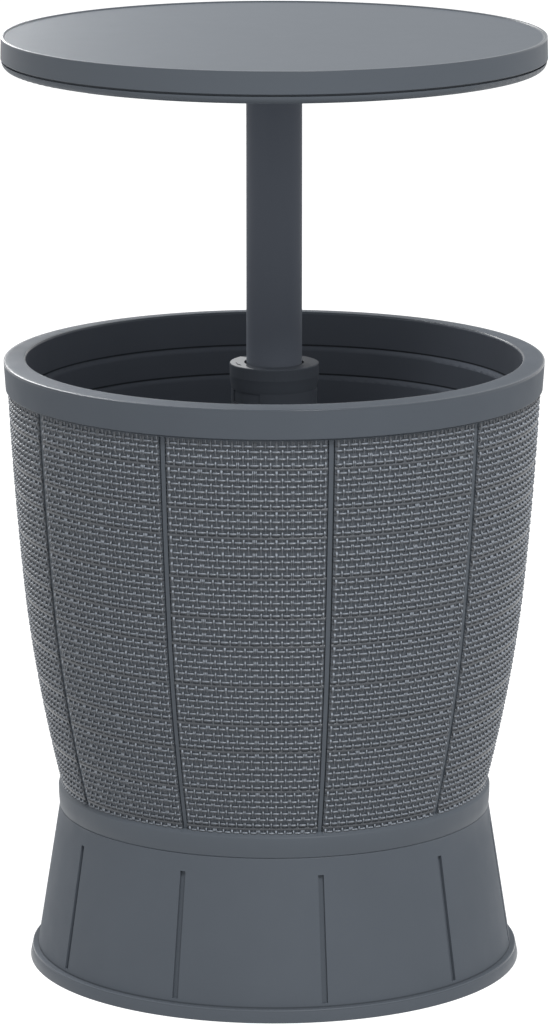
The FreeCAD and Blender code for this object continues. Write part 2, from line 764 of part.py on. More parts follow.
def build_post_foot():
    """Build the plug that closes the post's bottom and takes its screws."""
    body = ring_body("post_foot", "shell_floor_top", "post_foot_top", "0", "spigot_radius")
    drill(body, "post_foot_pilot", "pilot_radius", "shell_floor_top",
          "foot_height + screw_length + rest_gap", ("post_screw_circle", "0"),
          "post_screw_count")
    return body


def build_post_screws():
    """Build the screws that hold the post's plug, from below the tub's floor."""
    return screw_ring("post_screws", "foot_height - screw_head_height", "screw_length",
                      "post_screw_circle", "post_screw_count", "0")


def build_sleeve_seal():
    """Build the rubber ring round the post, in its groove on the liner's floor."""
    return ring_body("sleeve_seal", "well_floor", "well_floor + seal_height",
                     "sleeve_hole_radius", "sleeve_hole_radius + seal_width")


def build_post_cap():
    """Build the collar: flange, spigot in the tube, and two snap tabs in its windows."""
    body = start_body("post_cap")
    spin(body, "cap_section", [
        ("bush_radius + fit_gap", "bush_foot + bush_flange + fit_gap"),
        ("spigot_radius", "bush_foot + bush_flange + fit_gap"),
        ("spigot_radius", "cap_underside"),
        ("cap_radius", "cap_underside"),
        ("cap_radius", "cap_top - cap_round", "cap_round", "left"),
        ("cap_radius - cap_round", "cap_top"),
        ("cap_bore_radius", "cap_top"),
        ("cap_bore_radius", "bush_top + fit_gap"),
        ("bush_radius + fit_gap", "bush_top + fit_gap"),
    ])
    tab = spin(body, "snap_tab", block("window_low + fit_gap", "window_high - fit_gap",
                                       "spigot_radius - sleeve_wall / 2",
                                       "sleeve_radius - tab_recess"),
               phase="window_turn", angle="window_angle - 1")
    repeat(body, tab, "window_count")
    return body


def build_guide_bush():
    """Build the plain bearing in the collar, whose flange is the carriage's top stop."""
    body = start_body("guide_bush")
    spin(body, "bush_section", [
        ("bush_bore_radius", "bush_foot"),
        ("bush_radius + bush_flange_width", "bush_foot"),
        ("bush_radius + bush_flange_width", "bush_foot + bush_flange"),
        ("bush_radius", "bush_foot + bush_flange"),
        ("bush_radius", "bush_top"),
        ("bush_bore_radius", "bush_top"),
    ])
    return body


# Drain

def build_drain_fitting():
    """Build the drain tube through the tub's floors: flange in the well, hose spout below."""
    body = start_body("drain_fitting")
    spin(body, "fitting_section", [
        ("drain_bore_radius", "drain_foot"),
        ("spout_radius", "drain_foot"),
        ("spout_radius", "spout_top"),
        ("drain_radius", "spout_top"),
        ("drain_radius", "drain_flange_foot"),
        ("drain_flange_radius", "drain_flange_foot"),
        ("drain_flange_radius", "drain_mouth"),
        ("drain_bore_radius", "drain_mouth"),
    ], centre=("drain_reach", "drain_turn"))
    return body


def build_drain_gasket():
    """Build the gasket under the drain's flange."""
    return ring_body("drain_gasket", "well_floor", "drain_flange_foot", "drain_hole_radius",
                     "drain_flange_radius", centre=("drain_reach", "drain_turn"))


def build_drain_nut():
    """Build the six-sided nut that clamps the drain from below."""
    body = start_body("drain_nut")
    corners = [(f"drain_nut_radius * cos({step * 60 + 30})",
                f"drain_nut_radius * sin({step * 60 + 30})") for step in range(6)]
    centre = ("drain_reach", "drain_turn")
    raise_outline(body, "nut_prism", corners, "drain_nut_foot", "foot_height", centre=centre)
    drill(body, "nut_bore", "drain_radius + fit_gap / 2", "drain_nut_foot", "foot_height", centre)
    return body


def build_drain_plug():
    """Build the stopper: stem with a seal groove, head, and a fin to pull it by."""
    body = start_body("drain_plug")
    centre = ("drain_reach", "drain_turn")
    groove_half = "(oring_thickness / 2 + fit_gap)"
    spin(body, "plug_section", [
        ("0", "plug_foot"),
        ("plug_stem_radius - plug_chamfer", "plug_foot"),
        ("plug_stem_radius", "plug_foot + plug_chamfer"),
        ("plug_stem_radius", f"oring_height - {groove_half}"),
        ("oring_inner_radius - running_gap", f"oring_height - {groove_half}"),
        ("oring_inner_radius - running_gap", f"oring_height + {groove_half}"),
        ("plug_stem_radius", f"oring_height + {groove_half}"),
        ("plug_stem_radius", "drain_mouth"),
        ("plug_head_radius", "drain_mouth"),
        ("plug_head_radius", "plug_head_top - plug_chamfer"),
        ("plug_head_radius - plug_chamfer", "plug_head_top"),
        ("0", "plug_head_top"),
    ], centre=centre)
    half_width = "plug_fin_width / 2"
    half_thickness = "plug_fin_thickness / 2"
    raise_outline(body, "plug_fin", [
        (f"-{half_width}", f"-{half_thickness}"),
        (half_width, f"-{half_thickness}"),
        (half_width, half_thickness),
        (f"-{half_width}", half_thickness),
    ], "plug_head_top - plug_chamfer", "plug_head_top + plug_fin_height", centre=centre)
    return body


def build_plug_oring():
    """Build the round seal on the stopper's stem."""
    body = start_body("plug_oring")
    half = "oring_thickness / 2"
    middle = "(oring_inner_radius + oring_thickness / 2)"
    spin(body, "oring_section", [
        (f"{middle} + {half}", "oring_height", half, "left"),
        (middle, f"oring_height + {half}", half, "left"),
        (f"{middle} - {half}", "oring_height", half, "left"),
        (middle, f"oring_height - {half}", half, "left"),
    ], centre=("drain_reach", "drain_turn"))
    return body


# Carriage and brake

def build_carriage():
    """Build the carriage that slides in the post, keyed so that it can't turn."""
    body = start_body("carriage")
    spin(body, "carriage_section", [
        ("spindle_radius + running_gap", "carriage_foot"),
        ("carriage_radius", "carriage_foot"),
        ("carriage_radius", "carriage_top"),
        ("carriage_bore_radius", "carriage_top"),
        ("carriage_bore_radius", "carriage_floor_top"),
        ("spindle_radius + running_gap", "carriage_floor_top"),
    ])
    keyway = spin(body, "keyway", block("carriage_foot", "carriage_top",
                                        "sleeve_bore_radius - key_depth - rest_gap",
                                        "sleeve_radius"),
                  cut=True, phase="key_turn", angle="key_angle + 1")
    repeat(body, keyway, "key_count")
    side = "(shoe_half_width + shoe_window_gap)"
    raise_outline(body, "shoe_window", [
        ("cam_radius", f"-{side}"),
        ("sleeve_radius", f"-{side}"),
        ("sleeve_radius", side),
        ("cam_radius", side),
    ], "shoe_foot - shoe_margin", "shoe_top + shoe_margin", cut=True)
    return body


def build_guide_ring():
    """Build the carriage's upper bearing, round the pole."""
    return ring_body("guide_ring", "guide_ring_foot", "carriage_top", "bush_bore_radius",
                     "carriage_bore_radius - fit_gap / 2")


def build_brake_shoe():
    """Build the shoe: a yoke round the cam, with a tongue through the carriage's window."""
    body = start_body("brake_shoe")
    spin(body, "yoke_disc", block("shoe_foot", "shoe_top", "0", "shoe_radius"))
    spin(body, "shoe_tongue", block("shoe_foot", "shoe_top", "cam_radius", "shoe_tip_radius"),
         phase="0", angle="shoe_angle")
    raise_outline(body, "yoke_hole", [
        ("cam_offset + shoe_hole_radius", "-shoe_play"),
        ("cam_offset + shoe_hole_radius", "shoe_play", "shoe_hole_radius", "left"),
        ("cam_offset", "shoe_play + shoe_hole_radius", "shoe_hole_radius", "left"),
        ("cam_offset - shoe_hole_radius", "shoe_play"),
        ("cam_offset - shoe_hole_radius", "-shoe_play", "shoe_hole_radius", "left"),
        ("cam_offset", "-shoe_play - shoe_hole_radius", "shoe_hole_radius", "left"),
    ], "shoe_foot", "shoe_top", cut=True)
    return body


def build_brake_pad():
    """Build the rubber pad on the shoe's tongue."""
    body = start_body("brake_pad")
    spin(body, "pad_sector", block("shoe_foot", "shoe_top", "shoe_tip_radius", "pad_radius"),
         angle="shoe_angle")
    return body


# Table

def build_pole():
    """Build the tube between carriage and lid, drilled for its pin and rivets."""
    body = ring_body("pole", "pole_foot", "pole_top", "pole_bore_radius", "pole_radius")
    spin(body, "pin_hole", block("0", "hub_pin_radius + fit_gap / 2", "-hub_radius",
                                 "hub_radius"), cut=True, along="H_Axis", lift="hub_pin_height")
    spin(body, "rivet_hole", block("0", "rivet_radius + fit_gap / 2", "-hub_radius",
                                   "hub_radius"), cut=True, along="H_Axis", lift="rivet_height")
    return body


def build_lock_cam():
    """Build the eccentric plug: spindle, offset disc, flange, and the part in the pole."""
    body = start_body("lock_cam")
    spin(body, "spindle", [
        ("0", "spindle_foot"),
        ("spindle_radius", "spindle_foot"),
        ("spindle_radius", "clip_foot"),
        ("clip_bore_radius", "clip_foot"),
        ("clip_bore_radius", "clip_top"),
        ("spindle_radius", "clip_top"),
        ("spindle_radius", "cam_foot + cam_flange"),
        ("0", "cam_foot + cam_flange"),
    ])
    spin(body, "eccentric_disc", block("cam_foot", "cam_top", "0", "cam_radius"),
         centre=("cam_offset", "0"))
    spin(body, "cam_plug", [
        ("0", "cam_top - cam_flange"),
        ("spindle_radius", "cam_top - cam_flange"),
        ("spindle_radius", "cam_top"),
        ("pole_radius", "cam_top"),
        ("pole_radius", "pole_foot"),
        ("pole_bore_radius - fit_gap / 2", "pole_foot"),
        ("pole_bore_radius - fit_gap / 2", "pole_foot + cam_plug_height"),
        ("0", "pole_foot + cam_plug_height"),
    ])
    spin(body, "cam_rivet_hole", block("0", "rivet_radius + fit_gap / 2", "-hub_radius",
                                       "hub_radius"),
         cut=True, along="H_Axis", lift="rivet_height")
    return body


def build_cam_rivets():
    """Build the two rivets that hold the plug in the pole."""
    body = start_body("cam_rivets")
    rivet = spin(body, "rivet", [
        ("pole_radius - rivet_length", "0"),
        ("pole_radius + rivet_head_height", "0"),
        ("pole_radius + rivet_head_height", "rivet_head_radius * 0.7"),
        ("pole_radius + rivet_head_height / 4", "rivet_head_radius"),
        ("pole_radius", "rivet_head_radius"),
        ("pole_radius", "rivet_radius"),
        ("pole_radius - rivet_length", "rivet_radius"),
    ], along="H_Axis", lift="rivet_height")
    repeat(body, rivet, "2")
    return body


def build_cam_clip():
    """Build the retaining ring in the spindle's groove, under the carriage."""
    return ring_body("cam_clip", "clip_foot", "clip_top", "clip_bore_radius", "clip_radius")


def build_lid_hub():
    """Build the socket inside the lid that takes the pole's top."""
    body = start_body("lid_hub")
    spin(body, "hub_section", [
        ("hub_bore_radius", "lid_floor"),
        ("hub_flange_radius", "lid_floor"),
        ("hub_flange_radius", "hub_flange_top"),
        ("hub_radius", "hub_flange_top"),
        ("hub_radius", "hub_top"),
        ("0", "hub_top"),
        ("0", "pole_top"),
        ("hub_bore_radius", "pole_top"),
    ])
    spin(body, "hub_pin_hole", block("0", "hub_pin_radius + fit_gap / 2", "-hub_flange_radius",
                                     "hub_flange_radius"),
         cut=True, along="H_Axis", lift="hub_pin_height")
    drill(body, "hub_screw_pilot", "pilot_radius", "lid_floor",
          "lid_underside + hub_screw_length + rest_gap", ("hub_screw_circle", "0"),
          "hub_screw_count")
    return body


def build_hub_pin():
    """Build the pin through socket and pole."""
    body = start_body("hub_pin")
    spin(body, "pin_rod", block("0", "hub_pin_radius", "-hub_radius", "hub_radius"),
         along="H_Axis", lift="hub_pin_height")
    return body


def flush_screw_ring(name, length, circle, count, turn):
    """Return a ring of countersunk screws, flush with the lid's underside."""
    body = start_body(name)
    screw = spin(body, name + "_screw", [
        ("0", "lid_underside"),
        ("screw_radius * 2", "lid_underside"),
        ("screw_radius", "lid_underside + screw_radius"),
        ("screw_radius", f"lid_underside + {length} - screw_radius"),
        ("0", f"lid_underside + {length}"),
    ], centre=(circle, turn))
    repeat(body, screw, count)
    return body


def build_hub_screws():
    """Build the screws that hold the socket to the lower lid shell."""
    return flush_screw_ring("hub_screws", "hub_screw_length", "hub_screw_circle",
                            "hub_screw_count", "0")


def build_lid_screws():
    """Build the screws that hold the two lid shells together."""
    return flush_screw_ring("lid_screws", "screw_length", "lid_screw_circle",
                            "lid_screw_count", "0")


def countersink(body, name, circle, count):
    """Cut a ring of countersunk screw holes in the lid's underside."""
    hole = spin(body, name, [
        ("0", "lid_underside"),
        ("screw_radius * 2 + fit_gap / 2", "lid_underside"),
        ("screw_radius + fit_gap / 2", "lid_underside + screw_radius"),
        ("screw_radius + fit_gap / 2", "lid_floor"),
        ("0", "lid_floor"),
    ], cut=True, centre=(circle, "0"))
    repeat(body, hole, count)


def build_lid_bottom():
    """Build the lower lid shell: flat underside, rounded side, and a tongue in the seam."""
    body = start_body("lid_bottom")
    spin(body, "lid_bottom_section", [
        ("hub_bore_radius", "lid_underside"),
        ("lid_foot_radius", "lid_underside", "lid_bend", "left"),
        ("lid_rim_radius", "seam_foot"),
        ("lid_tongue_radius", "seam_foot"),
        ("lid_tongue_radius", "seam_top + lid_tongue_height"),
        ("lid_tongue_bore", "seam_top + lid_tongue_height"),
        ("lid_tongue_bore", "lid_floor + lid_wall"),
        ("lid_tongue_bore - lid_wall", "lid_floor"),
        ("hub_bore_radius", "lid_floor"),
    ])
    countersink(body, "hub_screw_hole", "hub_screw_circle", "hub_screw_count")
    countersink(body, "lid_screw_hole", "lid_screw_circle", "lid_screw_count")
    return body


def build_lid_top():
    """Build the table top: a recessed face in a raised lip, a side band and screw bosses."""
    body = start_body("lid_top")
    lip_inner = "lid_lip_radius - lid_lip_width"
    spin(body, "lid_top_section", [
        ("0", "lid_ceiling"),
        ("lid_radius - 2 * lid_wall", "lid_ceiling"),
        ("lid_radius - lid_wall", "lid_ceiling - lid_wall"),
        ("lid_radius - lid_wall", "seam_top"),
        ("lid_radius", "seam_top"),
        ("lid_lip_radius", "lid_top - lid_round", "lid_round", "left"),
        ("lid_lip_radius - lid_round", "lid_top"),
        (f"{lip_inner} + lid_round", "lid_top", "lid_round", "left"),
        (lip_inner, "lid_top - lid_round"),
        (f"{lip_inner} - lid_round", "lid_recess"),
        ("0", "lid_recess"),
    ])
    boss = spin(body, "lid_boss", block("lid_floor", "lid_ceiling + lid_wall / 2", "0",
                                        "boss_radius"),
                centre=("lid_screw_circle", "0"))
    repeat(body, boss, "lid_screw_count")
    drill(body, "lid_boss_pilot", "pilot_radius", "lid_floor",
          "lid_underside + screw_length + rest_gap", ("lid_screw_circle", "0"),
          "lid_screw_count")
    return body


def build_lid_foam():
    """Build the insulation between the lid shells, round the socket and the bosses."""
    body = ring_body("lid_foam", "lid_floor + foam_gap", "lid_ceiling - foam_gap",
                     "hub_flange_radius + foam_gap", "lid_tongue_bore - lid_wall - foam_gap")
    drill(body, "foam_boss_hole", "boss_radius + foam_gap", "lid_floor", "lid_ceiling",
          ("lid_screw_circle", "0"), "lid_screw_count")
    return body


BUILDERS = [
    build_base_skirt, build_base_screws, build_weave_shell, build_rim_ring, build_liner,
    build_foam_jacket, build_foam_floor, build_post_sleeve, build_post_foot, build_post_screws,
    build_sleeve_seal, build_post_cap, build_guide_bush, build_drain_fitting,
    build_drain_gasket, build_drain_nut, build_drain_plug, build_plug_oring, build_carriage,
    build_guide_ring, build_brake_shoe, build_brake_pad, build_pole, build_lock_cam,
    build_cam_rivets, build_cam_clip, build_lid_hub, build_hub_pin, build_hub_screws,
    build_lid_bottom, build_lid_top, build_lid_foam, build_lid_screws,
]


def check_document(bodies):
    """Stop if any object failed, or if a sub-part has no valid shape."""
    for item in document.Objects:
        if "Invalid" in item.State or "Error" in item.State:
            raise RuntimeError(f"{item.Name} failed: {item.State}")
    for body in bodies:
        if body.Shape.isNull() or not body.Shape.isValid():
            raise RuntimeError(f"{body.Label} has no valid shape")


def write_parts(bodies):
    """Write each sub-part to a file with its node's name."""
    os.makedirs("parts", exist_ok=True)
    for body in bodies:
        body.Shape.exportStep(f"parts/{body.Label}.step")
        print(f"{body.Label}: {len(body.Shape.Solids)} solid(s), {body.Shape.Volume:.0f} mm3")


fill_sheet()
sub_parts = [build() for build in BUILDERS]
document.recompute()
check_document(sub_parts)
write_parts(sub_parts)
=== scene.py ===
import logging
import math
from dataclasses import dataclass, field
from enum import Enum

import bmesh
import bpy
import numpy as np
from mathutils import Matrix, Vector

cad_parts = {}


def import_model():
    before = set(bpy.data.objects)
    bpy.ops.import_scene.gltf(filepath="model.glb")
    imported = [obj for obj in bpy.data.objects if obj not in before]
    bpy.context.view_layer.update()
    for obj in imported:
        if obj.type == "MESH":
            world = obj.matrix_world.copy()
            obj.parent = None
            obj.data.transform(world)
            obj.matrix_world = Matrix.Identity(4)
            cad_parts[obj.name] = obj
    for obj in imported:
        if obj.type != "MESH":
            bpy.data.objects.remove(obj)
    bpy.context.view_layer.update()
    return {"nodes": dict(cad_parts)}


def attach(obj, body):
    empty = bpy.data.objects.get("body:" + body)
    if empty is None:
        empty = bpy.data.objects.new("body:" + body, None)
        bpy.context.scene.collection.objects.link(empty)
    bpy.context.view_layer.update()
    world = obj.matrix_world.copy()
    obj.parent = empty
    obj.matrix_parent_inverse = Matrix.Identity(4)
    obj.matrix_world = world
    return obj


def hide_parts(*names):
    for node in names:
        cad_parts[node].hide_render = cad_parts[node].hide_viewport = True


LOG = logging.getLogger("cooler_table")
MM = 0.001

Pair = tuple[float, float]
Triple = tuple[float, float, float]
Colour = tuple[float, float, float]
Socket = bpy.types.NodeSocket
# Corners as radius, angle and height, the faces, and each corner's painted light, from painted shade at 0 to
# painted highlight at 1.
Strands = tuple[np.ndarray, np.ndarray, np.ndarray]

EVEN: Triple = (1.0, 1.0, 1.0)
# Part of a cloud pattern's range that most of its values lie in.
CLOUDY: Pair = (0.3, 0.7)


class Slot(Enum):
    """Material slots of the record that new pieces take their finish from."""

    SLATE = "slate_plastic"
    WEAVE = "weave_plastic"
    POST = "post_plastic"


class Body(Enum):
    """Moving groups of the frame that new pieces ride on."""

    TUB = "tub"
    TABLE = "table"


class NodeSheet:
    """A material's node tree, with short calls that add and wire nodes."""

    sharp_edge: Pair = (0.52, 0.60)
    edge_line: float = 0.0012
    line_fade: Pair = (0.3, 0.6)

    def __init__(self, name: str) -> None:
        """Start an empty material with one output.

        Args:
            name: The material's name.
        """
        self.material = bpy.data.materials.new(name)
        self.material.use_nodes = True
        self.tree = self.material.node_tree
        self.tree.nodes.clear()
        self.output = self.add("ShaderNodeOutputMaterial")

    def add(self, kind: str, **settings: object) -> bpy.types.Node:
        """Add a node.

        Args:
            kind: The node's Blender type.
            settings: Properties of the node and their values.

        Returns:
            The new node.
        """
        node = self.tree.nodes.new(kind)
        for key, value in settings.items():
            setattr(node, key, value)
        return node

    def wire(self, source: Socket, target: Socket) -> None:
        """Join an output socket to an input socket."""
        self.tree.links.new(source, target)

    def skin(self) -> bpy.types.Node:
        """Add the surface shader, joined to the output.

        Returns:
            The shader, whose sockets take the finish.
        """
        shader = self.add("ShaderNodeBsdfPrincipled")
        self.wire(shader.outputs["BSDF"], self.output.inputs["Surface"])
        return shader

    def place(self, stretch: Triple = EVEN) -> Socket:
        """Give the piece's own coordinates, stretched per axis.

        Args:
            stretch: Scale of each axis; a smaller number draws the pattern out.

        Returns:
            The socket with the coordinates.
        """
        where = self.add("ShaderNodeTexCoord")
        if stretch == EVEN:
            return where.outputs["Object"]
        mapping = self.add("ShaderNodeMapping")
        mapping.inputs["Scale"].default_value = stretch
        self.wire(where.outputs["Object"], mapping.inputs["Vector"])
        return mapping.outputs["Vector"]

    def noise(self, size: float, detail: float, stretch: Triple = EVEN) -> Socket:
        """Add a cloud pattern.

        Args:
            size: Size of one cloud in metres.
            detail: How many finer layers it has.
            stretch: Scale of each axis.

        Returns:
            The pattern's value, from 0 to 1.
        """
        cloud = self.add("ShaderNodeTexNoise")
        cloud.inputs["Scale"].default_value = 1.0 / size
        cloud.inputs["Detail"].default_value = detail
        self.wire(self.place(stretch), cloud.inputs["Vector"])
        return cloud.outputs["Fac"]

    def spread(self, value: Socket, from_low: float, from_high: float,
               to_low: float = 0.0, to_high: float = 1.0) -> Socket:
        """Map a value from one range to another, clamped.

        Args:
            value: The socket to read.
            from_low: Where the range to read starts.
            from_high: Where it ends.
            to_low: Result at from_low.
            to_high: Result at from_high.

        Returns:
            The mapped value.
        """
        node = self.add("ShaderNodeMapRange")
        self.wire(value, node.inputs["Value"])
        for key, number in (("From Min", from_low), ("From Max", from_high),
                            ("To Min", to_low), ("To Max", to_high)):
            node.inputs[key].default_value = number
        return node.outputs["Result"]

    def tint(self, factor: Socket, first: Colour | Socket, second: Colour) -> Socket:
        """Blend two colours by a factor that varies over the surface.

        Args:
            factor: 0 gives the first colour and 1 the second.
            first: A colour, or a socket with one.
            second: The other colour.

        Returns:
            The blended colour.
        """
        mix = self.add("ShaderNodeMix", data_type="RGBA")
        self.wire(factor, mix.inputs["Factor"])
        if isinstance(first, tuple):
            mix.inputs["A"].default_value = (*first, 1.0)
        else:
            self.wire(first, mix.inputs["A"])
        mix.inputs["B"].default_value = (*second, 1.0)
        return mix.outputs["Result"]

    def ease(self, value: Socket, factor: Socket, target: float) -> Socket:
        """Draw a number towards a target by a factor that varies over the surface.

        Args:
            value: The number to start from.
            factor: 0 keeps the number and 1 gives the target.
            target: The number at factor 1.

        Returns:
            The blended number.
        """
        mix = self.add("ShaderNodeMix", data_type="FLOAT")
        self.wire(factor, mix.inputs["Factor"])
        self.wire(value, mix.inputs["A"])
        mix.inputs["B"].default_value = target
        return mix.outputs["Result"]

    def bump(self, height: Socket, depth: float, under: Socket | None = None) -> Socket:
        """Turn a height pattern into a tilted surface.

        Args:
            height: Pattern from 0 to 1.
            depth: Height of the pattern in metres.
            under: Another bump that this one lies on.

        Returns:
            The tilted normal.
        """
        node = self.add("ShaderNodeBump")
        node.inputs["Distance"].default_value = depth
        self.wire(height, node.inputs["Height"])
        if under is not None:
            self.wire(under, node.inputs["Normal"])
        return node.outputs["Normal"]

    def more(self, first: Socket, second: Socket) -> Socket:
        """Give the larger of two numbers.

        Args:
            first: One number.
            second: The other number.

        Returns:
            The larger one.
        """
        node = self.add("ShaderNodeMath", operation="MAXIMUM")
        self.wire(first, node.inputs[0])
        self.wire(second, node.inputs[1])
        return node.outputs["Value"]

    def edges(self, heights: tuple[float, ...] = ()) -> Socket:
        """Give 1 on sharp outer edges, and where a piece is marked as rubbed, and 0 elsewhere.

        Args:
            heights: Heights in metres of level edges that are rubbed all round.

        Returns:
            The pattern's value, from 0 to 1.
        """
        shape = self.add("ShaderNodeNewGeometry")
        sharp = self.spread(shape.outputs["Pointiness"], *self.sharp_edge)
        marked = self.add("ShaderNodeAttribute", attribute_name="wear_and_painted_light")
        edges = self.more(sharp, marked.outputs["Fac"])
        return self.more(edges, self.level_lines(heights, self.edge_line)) if heights else edges

    def level_lines(self, heights: tuple[float, ...], width: float) -> Socket:
        """Give 1 in thin level lines round a piece and 0 elsewhere.

        Args:
            heights: Height of each line in metres.
            width: Width of a line in metres.

        Returns:
            The pattern's value, from 0 to 1.
        """
        split = self.add("ShaderNodeSeparateXYZ")
        self.wire(self.place(), split.inputs["Vector"])
        core, rim = (width * share for share in self.line_fade)
        lines = None
        for height in heights:
            away = self.add("ShaderNodeMath", operation="SUBTRACT")
            self.wire(split.outputs["Z"], away.inputs[0])
            away.inputs[1].default_value = height
            size = self.add("ShaderNodeMath", operation="ABSOLUTE")
            self.wire(away.outputs["Value"], size.inputs[0])
            line = self.spread(size.outputs["Value"], core, rim, 1.0, 0.0)
            lines = line if lines is None else self.more(lines, line)
        return lines


def seen_directly(tree: bpy.types.NodeTree) -> Socket:
    """Tell rays that come from the camera, off gloss or through glass from all others.

    Args:
        tree: Node tree of a material or of the world.

    Returns:
        1 on such rays and 0 on all others.
    """
    ray = tree.nodes.new("ShaderNodeLightPath")
    seen = ray.outputs["Is Camera Ray"]
    for name in ("Is Glossy Ray", "Is Transmission Ray"):
        either = tree.nodes.new("ShaderNodeMath")
        either.operation = "MAXIMUM"
        tree.links.new(seen, either.inputs[0])
        tree.links.new(ray.outputs[name], either.inputs[1])
        seen = either.outputs["Value"]
    return seen


def shade(colour: Colour, factor: float) -> Colour:
    """Give a colour made lighter or darker by a factor."""
    return tuple(min(1.0, channel * factor) for channel in colour)


@dataclass(frozen=True)
class MouldedPlastic:
    """Moulded plastic with a fine spark grain, slight flow marks, worn edges, and painted shade in dark
    level lines at given creases.
    """

    name: str
    colour: Colour
    roughness: float = 0.55
    gloss: float = 0.3
    grain: float = 0.0009
    grain_depth: float = 0.00004
    variation: float = 0.03
    mottle: float = 0.03
    wear_and_painted_highlight: float = 0.9
    polish: float = 0.28
    painted_shade_heights: tuple[float, ...] = ()
    painted_shade_factor: float = 0.25
    painted_shade_width: float = 0.0016
    rubbed_lines: tuple[float, ...] = ()
    flow_size: float = 0.09
    cloud_size: float = 0.02
    wave_size: float = 0.05

    def material(self) -> bpy.types.Material:
        """Build the material.

        Returns:
            The finish as a material.
        """
        sheet = NodeSheet(self.name)
        skin = sheet.skin()
        flow = sheet.spread(sheet.noise(self.flow_size, 3.0), *CLOUDY)
        body = sheet.tint(flow, shade(self.colour, 1 - self.variation),
                          shade(self.colour, 1 + self.variation))
        edges = sheet.edges(self.rubbed_lines)
        worn = sheet.tint(edges, body, shade(self.colour, self.wear_and_painted_highlight))
        # Painted shade: dark level lines at creases where shade falls.
        if self.painted_shade_heights:
            painted_shade_mask = sheet.level_lines(self.painted_shade_heights, self.painted_shade_width)
            worn = sheet.tint(painted_shade_mask, worn, shade(self.colour, self.painted_shade_factor))
        sheet.wire(worn, skin.inputs["Base Color"])
        cloud = sheet.noise(self.cloud_size, 4.0)
        dull = sheet.spread(cloud, *CLOUDY, self.roughness - self.mottle, self.roughness + self.mottle)
        sheet.wire(sheet.ease(dull, edges, self.polish), skin.inputs["Roughness"])
        grain = sheet.bump(sheet.noise(self.grain, 2.0), self.grain_depth)
        waves = sheet.bump(sheet.noise(self.wave_size, 1.0), self.grain_depth * 2, grain)
        sheet.wire(waves, skin.inputs["Normal"])
        skin.inputs["Specular IOR Level"].default_value = self.gloss
        return sheet.material


@dataclass(frozen=True)
class WovenPlastic:
    """Plastic strands with fine lines along them, with painted highlight on their upper faces and painted
    shade in their hollows.
    """

    name: str
    colour: Colour
    roughness: float = 0.28
    gloss: float = 0.5
    line: float = 0.0005
    line_depth: float = 0.0001
    along: Triple = (1.0, 1.0, 0.08)
    strand_size: float = 0.006
    strand_shades: Pair = (0.86, 1.12)
    line_shade: float = 1.35
    # Colour factors of the painted highlight on upper faces and of the painted shade in hollows.
    wear_and_painted_highlight: float = 2.9
    sunk: float = 0.42
    mottle: float = 0.05

    def material(self) -> bpy.types.Material:
        """Build the material.

        Returns:
            The finish as a material.
        """
        sheet = NodeSheet(self.name)
        skin = sheet.skin()
        lines = sheet.noise(self.line, 2.0, self.along)
        strand = sheet.spread(sheet.noise(self.strand_size, 2.0), *CLOUDY)
        body = sheet.tint(strand, *(shade(self.colour, factor) for factor in self.strand_shades))
        fine = sheet.spread(lines, 0.45, 0.75, 0.0, 0.5)
        worn = sheet.tint(fine, body, shade(self.colour, self.line_shade))
        # Painted light from the corner attribute: paler upper faces are painted highlight, darker hollows
        # are painted shade.
        wear_and_painted_light = sheet.add("ShaderNodeAttribute", attribute_name="wear_and_painted_light").outputs["Fac"]
        wear_and_painted_highlight = sheet.tint(sheet.spread(wear_and_painted_light, 0.5, 1.0), worn, shade(self.colour, self.wear_and_painted_highlight))
        sunk = sheet.tint(sheet.spread(wear_and_painted_light, 0.0, 0.25, 1.0, 0.0), wear_and_painted_highlight, shade(self.colour, self.sunk))
        sheet.wire(sunk, skin.inputs["Base Color"])
        dull = sheet.spread(lines, *CLOUDY, self.roughness - self.mottle, self.roughness + self.mottle)
        sheet.wire(dull, skin.inputs["Roughness"])
        sheet.wire(sheet.bump(lines, self.line_depth), skin.inputs["Normal"])
        skin.inputs["Specular IOR Level"].default_value = self.gloss
        return sheet.material


@dataclass(frozen=True)
class CoatedTube:
    """Powder-coated metal: an even coat with an orange-peel skin."""

    name: str
    colour: Colour
    roughness: float = 0.62
    gloss: float = 0.15
    peel: float = 0.0022
    peel_depth: float = 0.00003
    rub_size: float = 0.012
    rub_along: Triple = (1.0, 1.0, 0.05)
    rub_shades: Pair = (0.96, 1.14)
    edge_shade: float = 1.6

    def material(self) -> bpy.types.Material:
        """Build the material.

        Returns:
            The finish as a material.
        """
        sheet = NodeSheet(self.name)
        skin = sheet.skin()
        rubs = sheet.spread(sheet.noise(self.rub_size, 5.0, self.rub_along), 0.45, 0.75, 0.0, 0.6)
        body = sheet.tint(rubs, *(shade(self.colour, factor) for factor in self.rub_shades))
        worn = sheet.tint(sheet.edges(), body, shade(self.colour, self.edge_shade))
        sheet.wire(worn, skin.inputs["Base Color"])
        dull = sheet.spread(rubs, 0.0, 0.6, self.roughness - 0.04, self.roughness + 0.06)
        sheet.wire(dull, skin.inputs["Roughness"])
        sheet.wire(sheet.bump(sheet.noise(self.peel, 1.0), self.peel_depth), skin.inputs["Normal"])
        skin.inputs["Specular IOR Level"].default_value = self.gloss
        return sheet.material


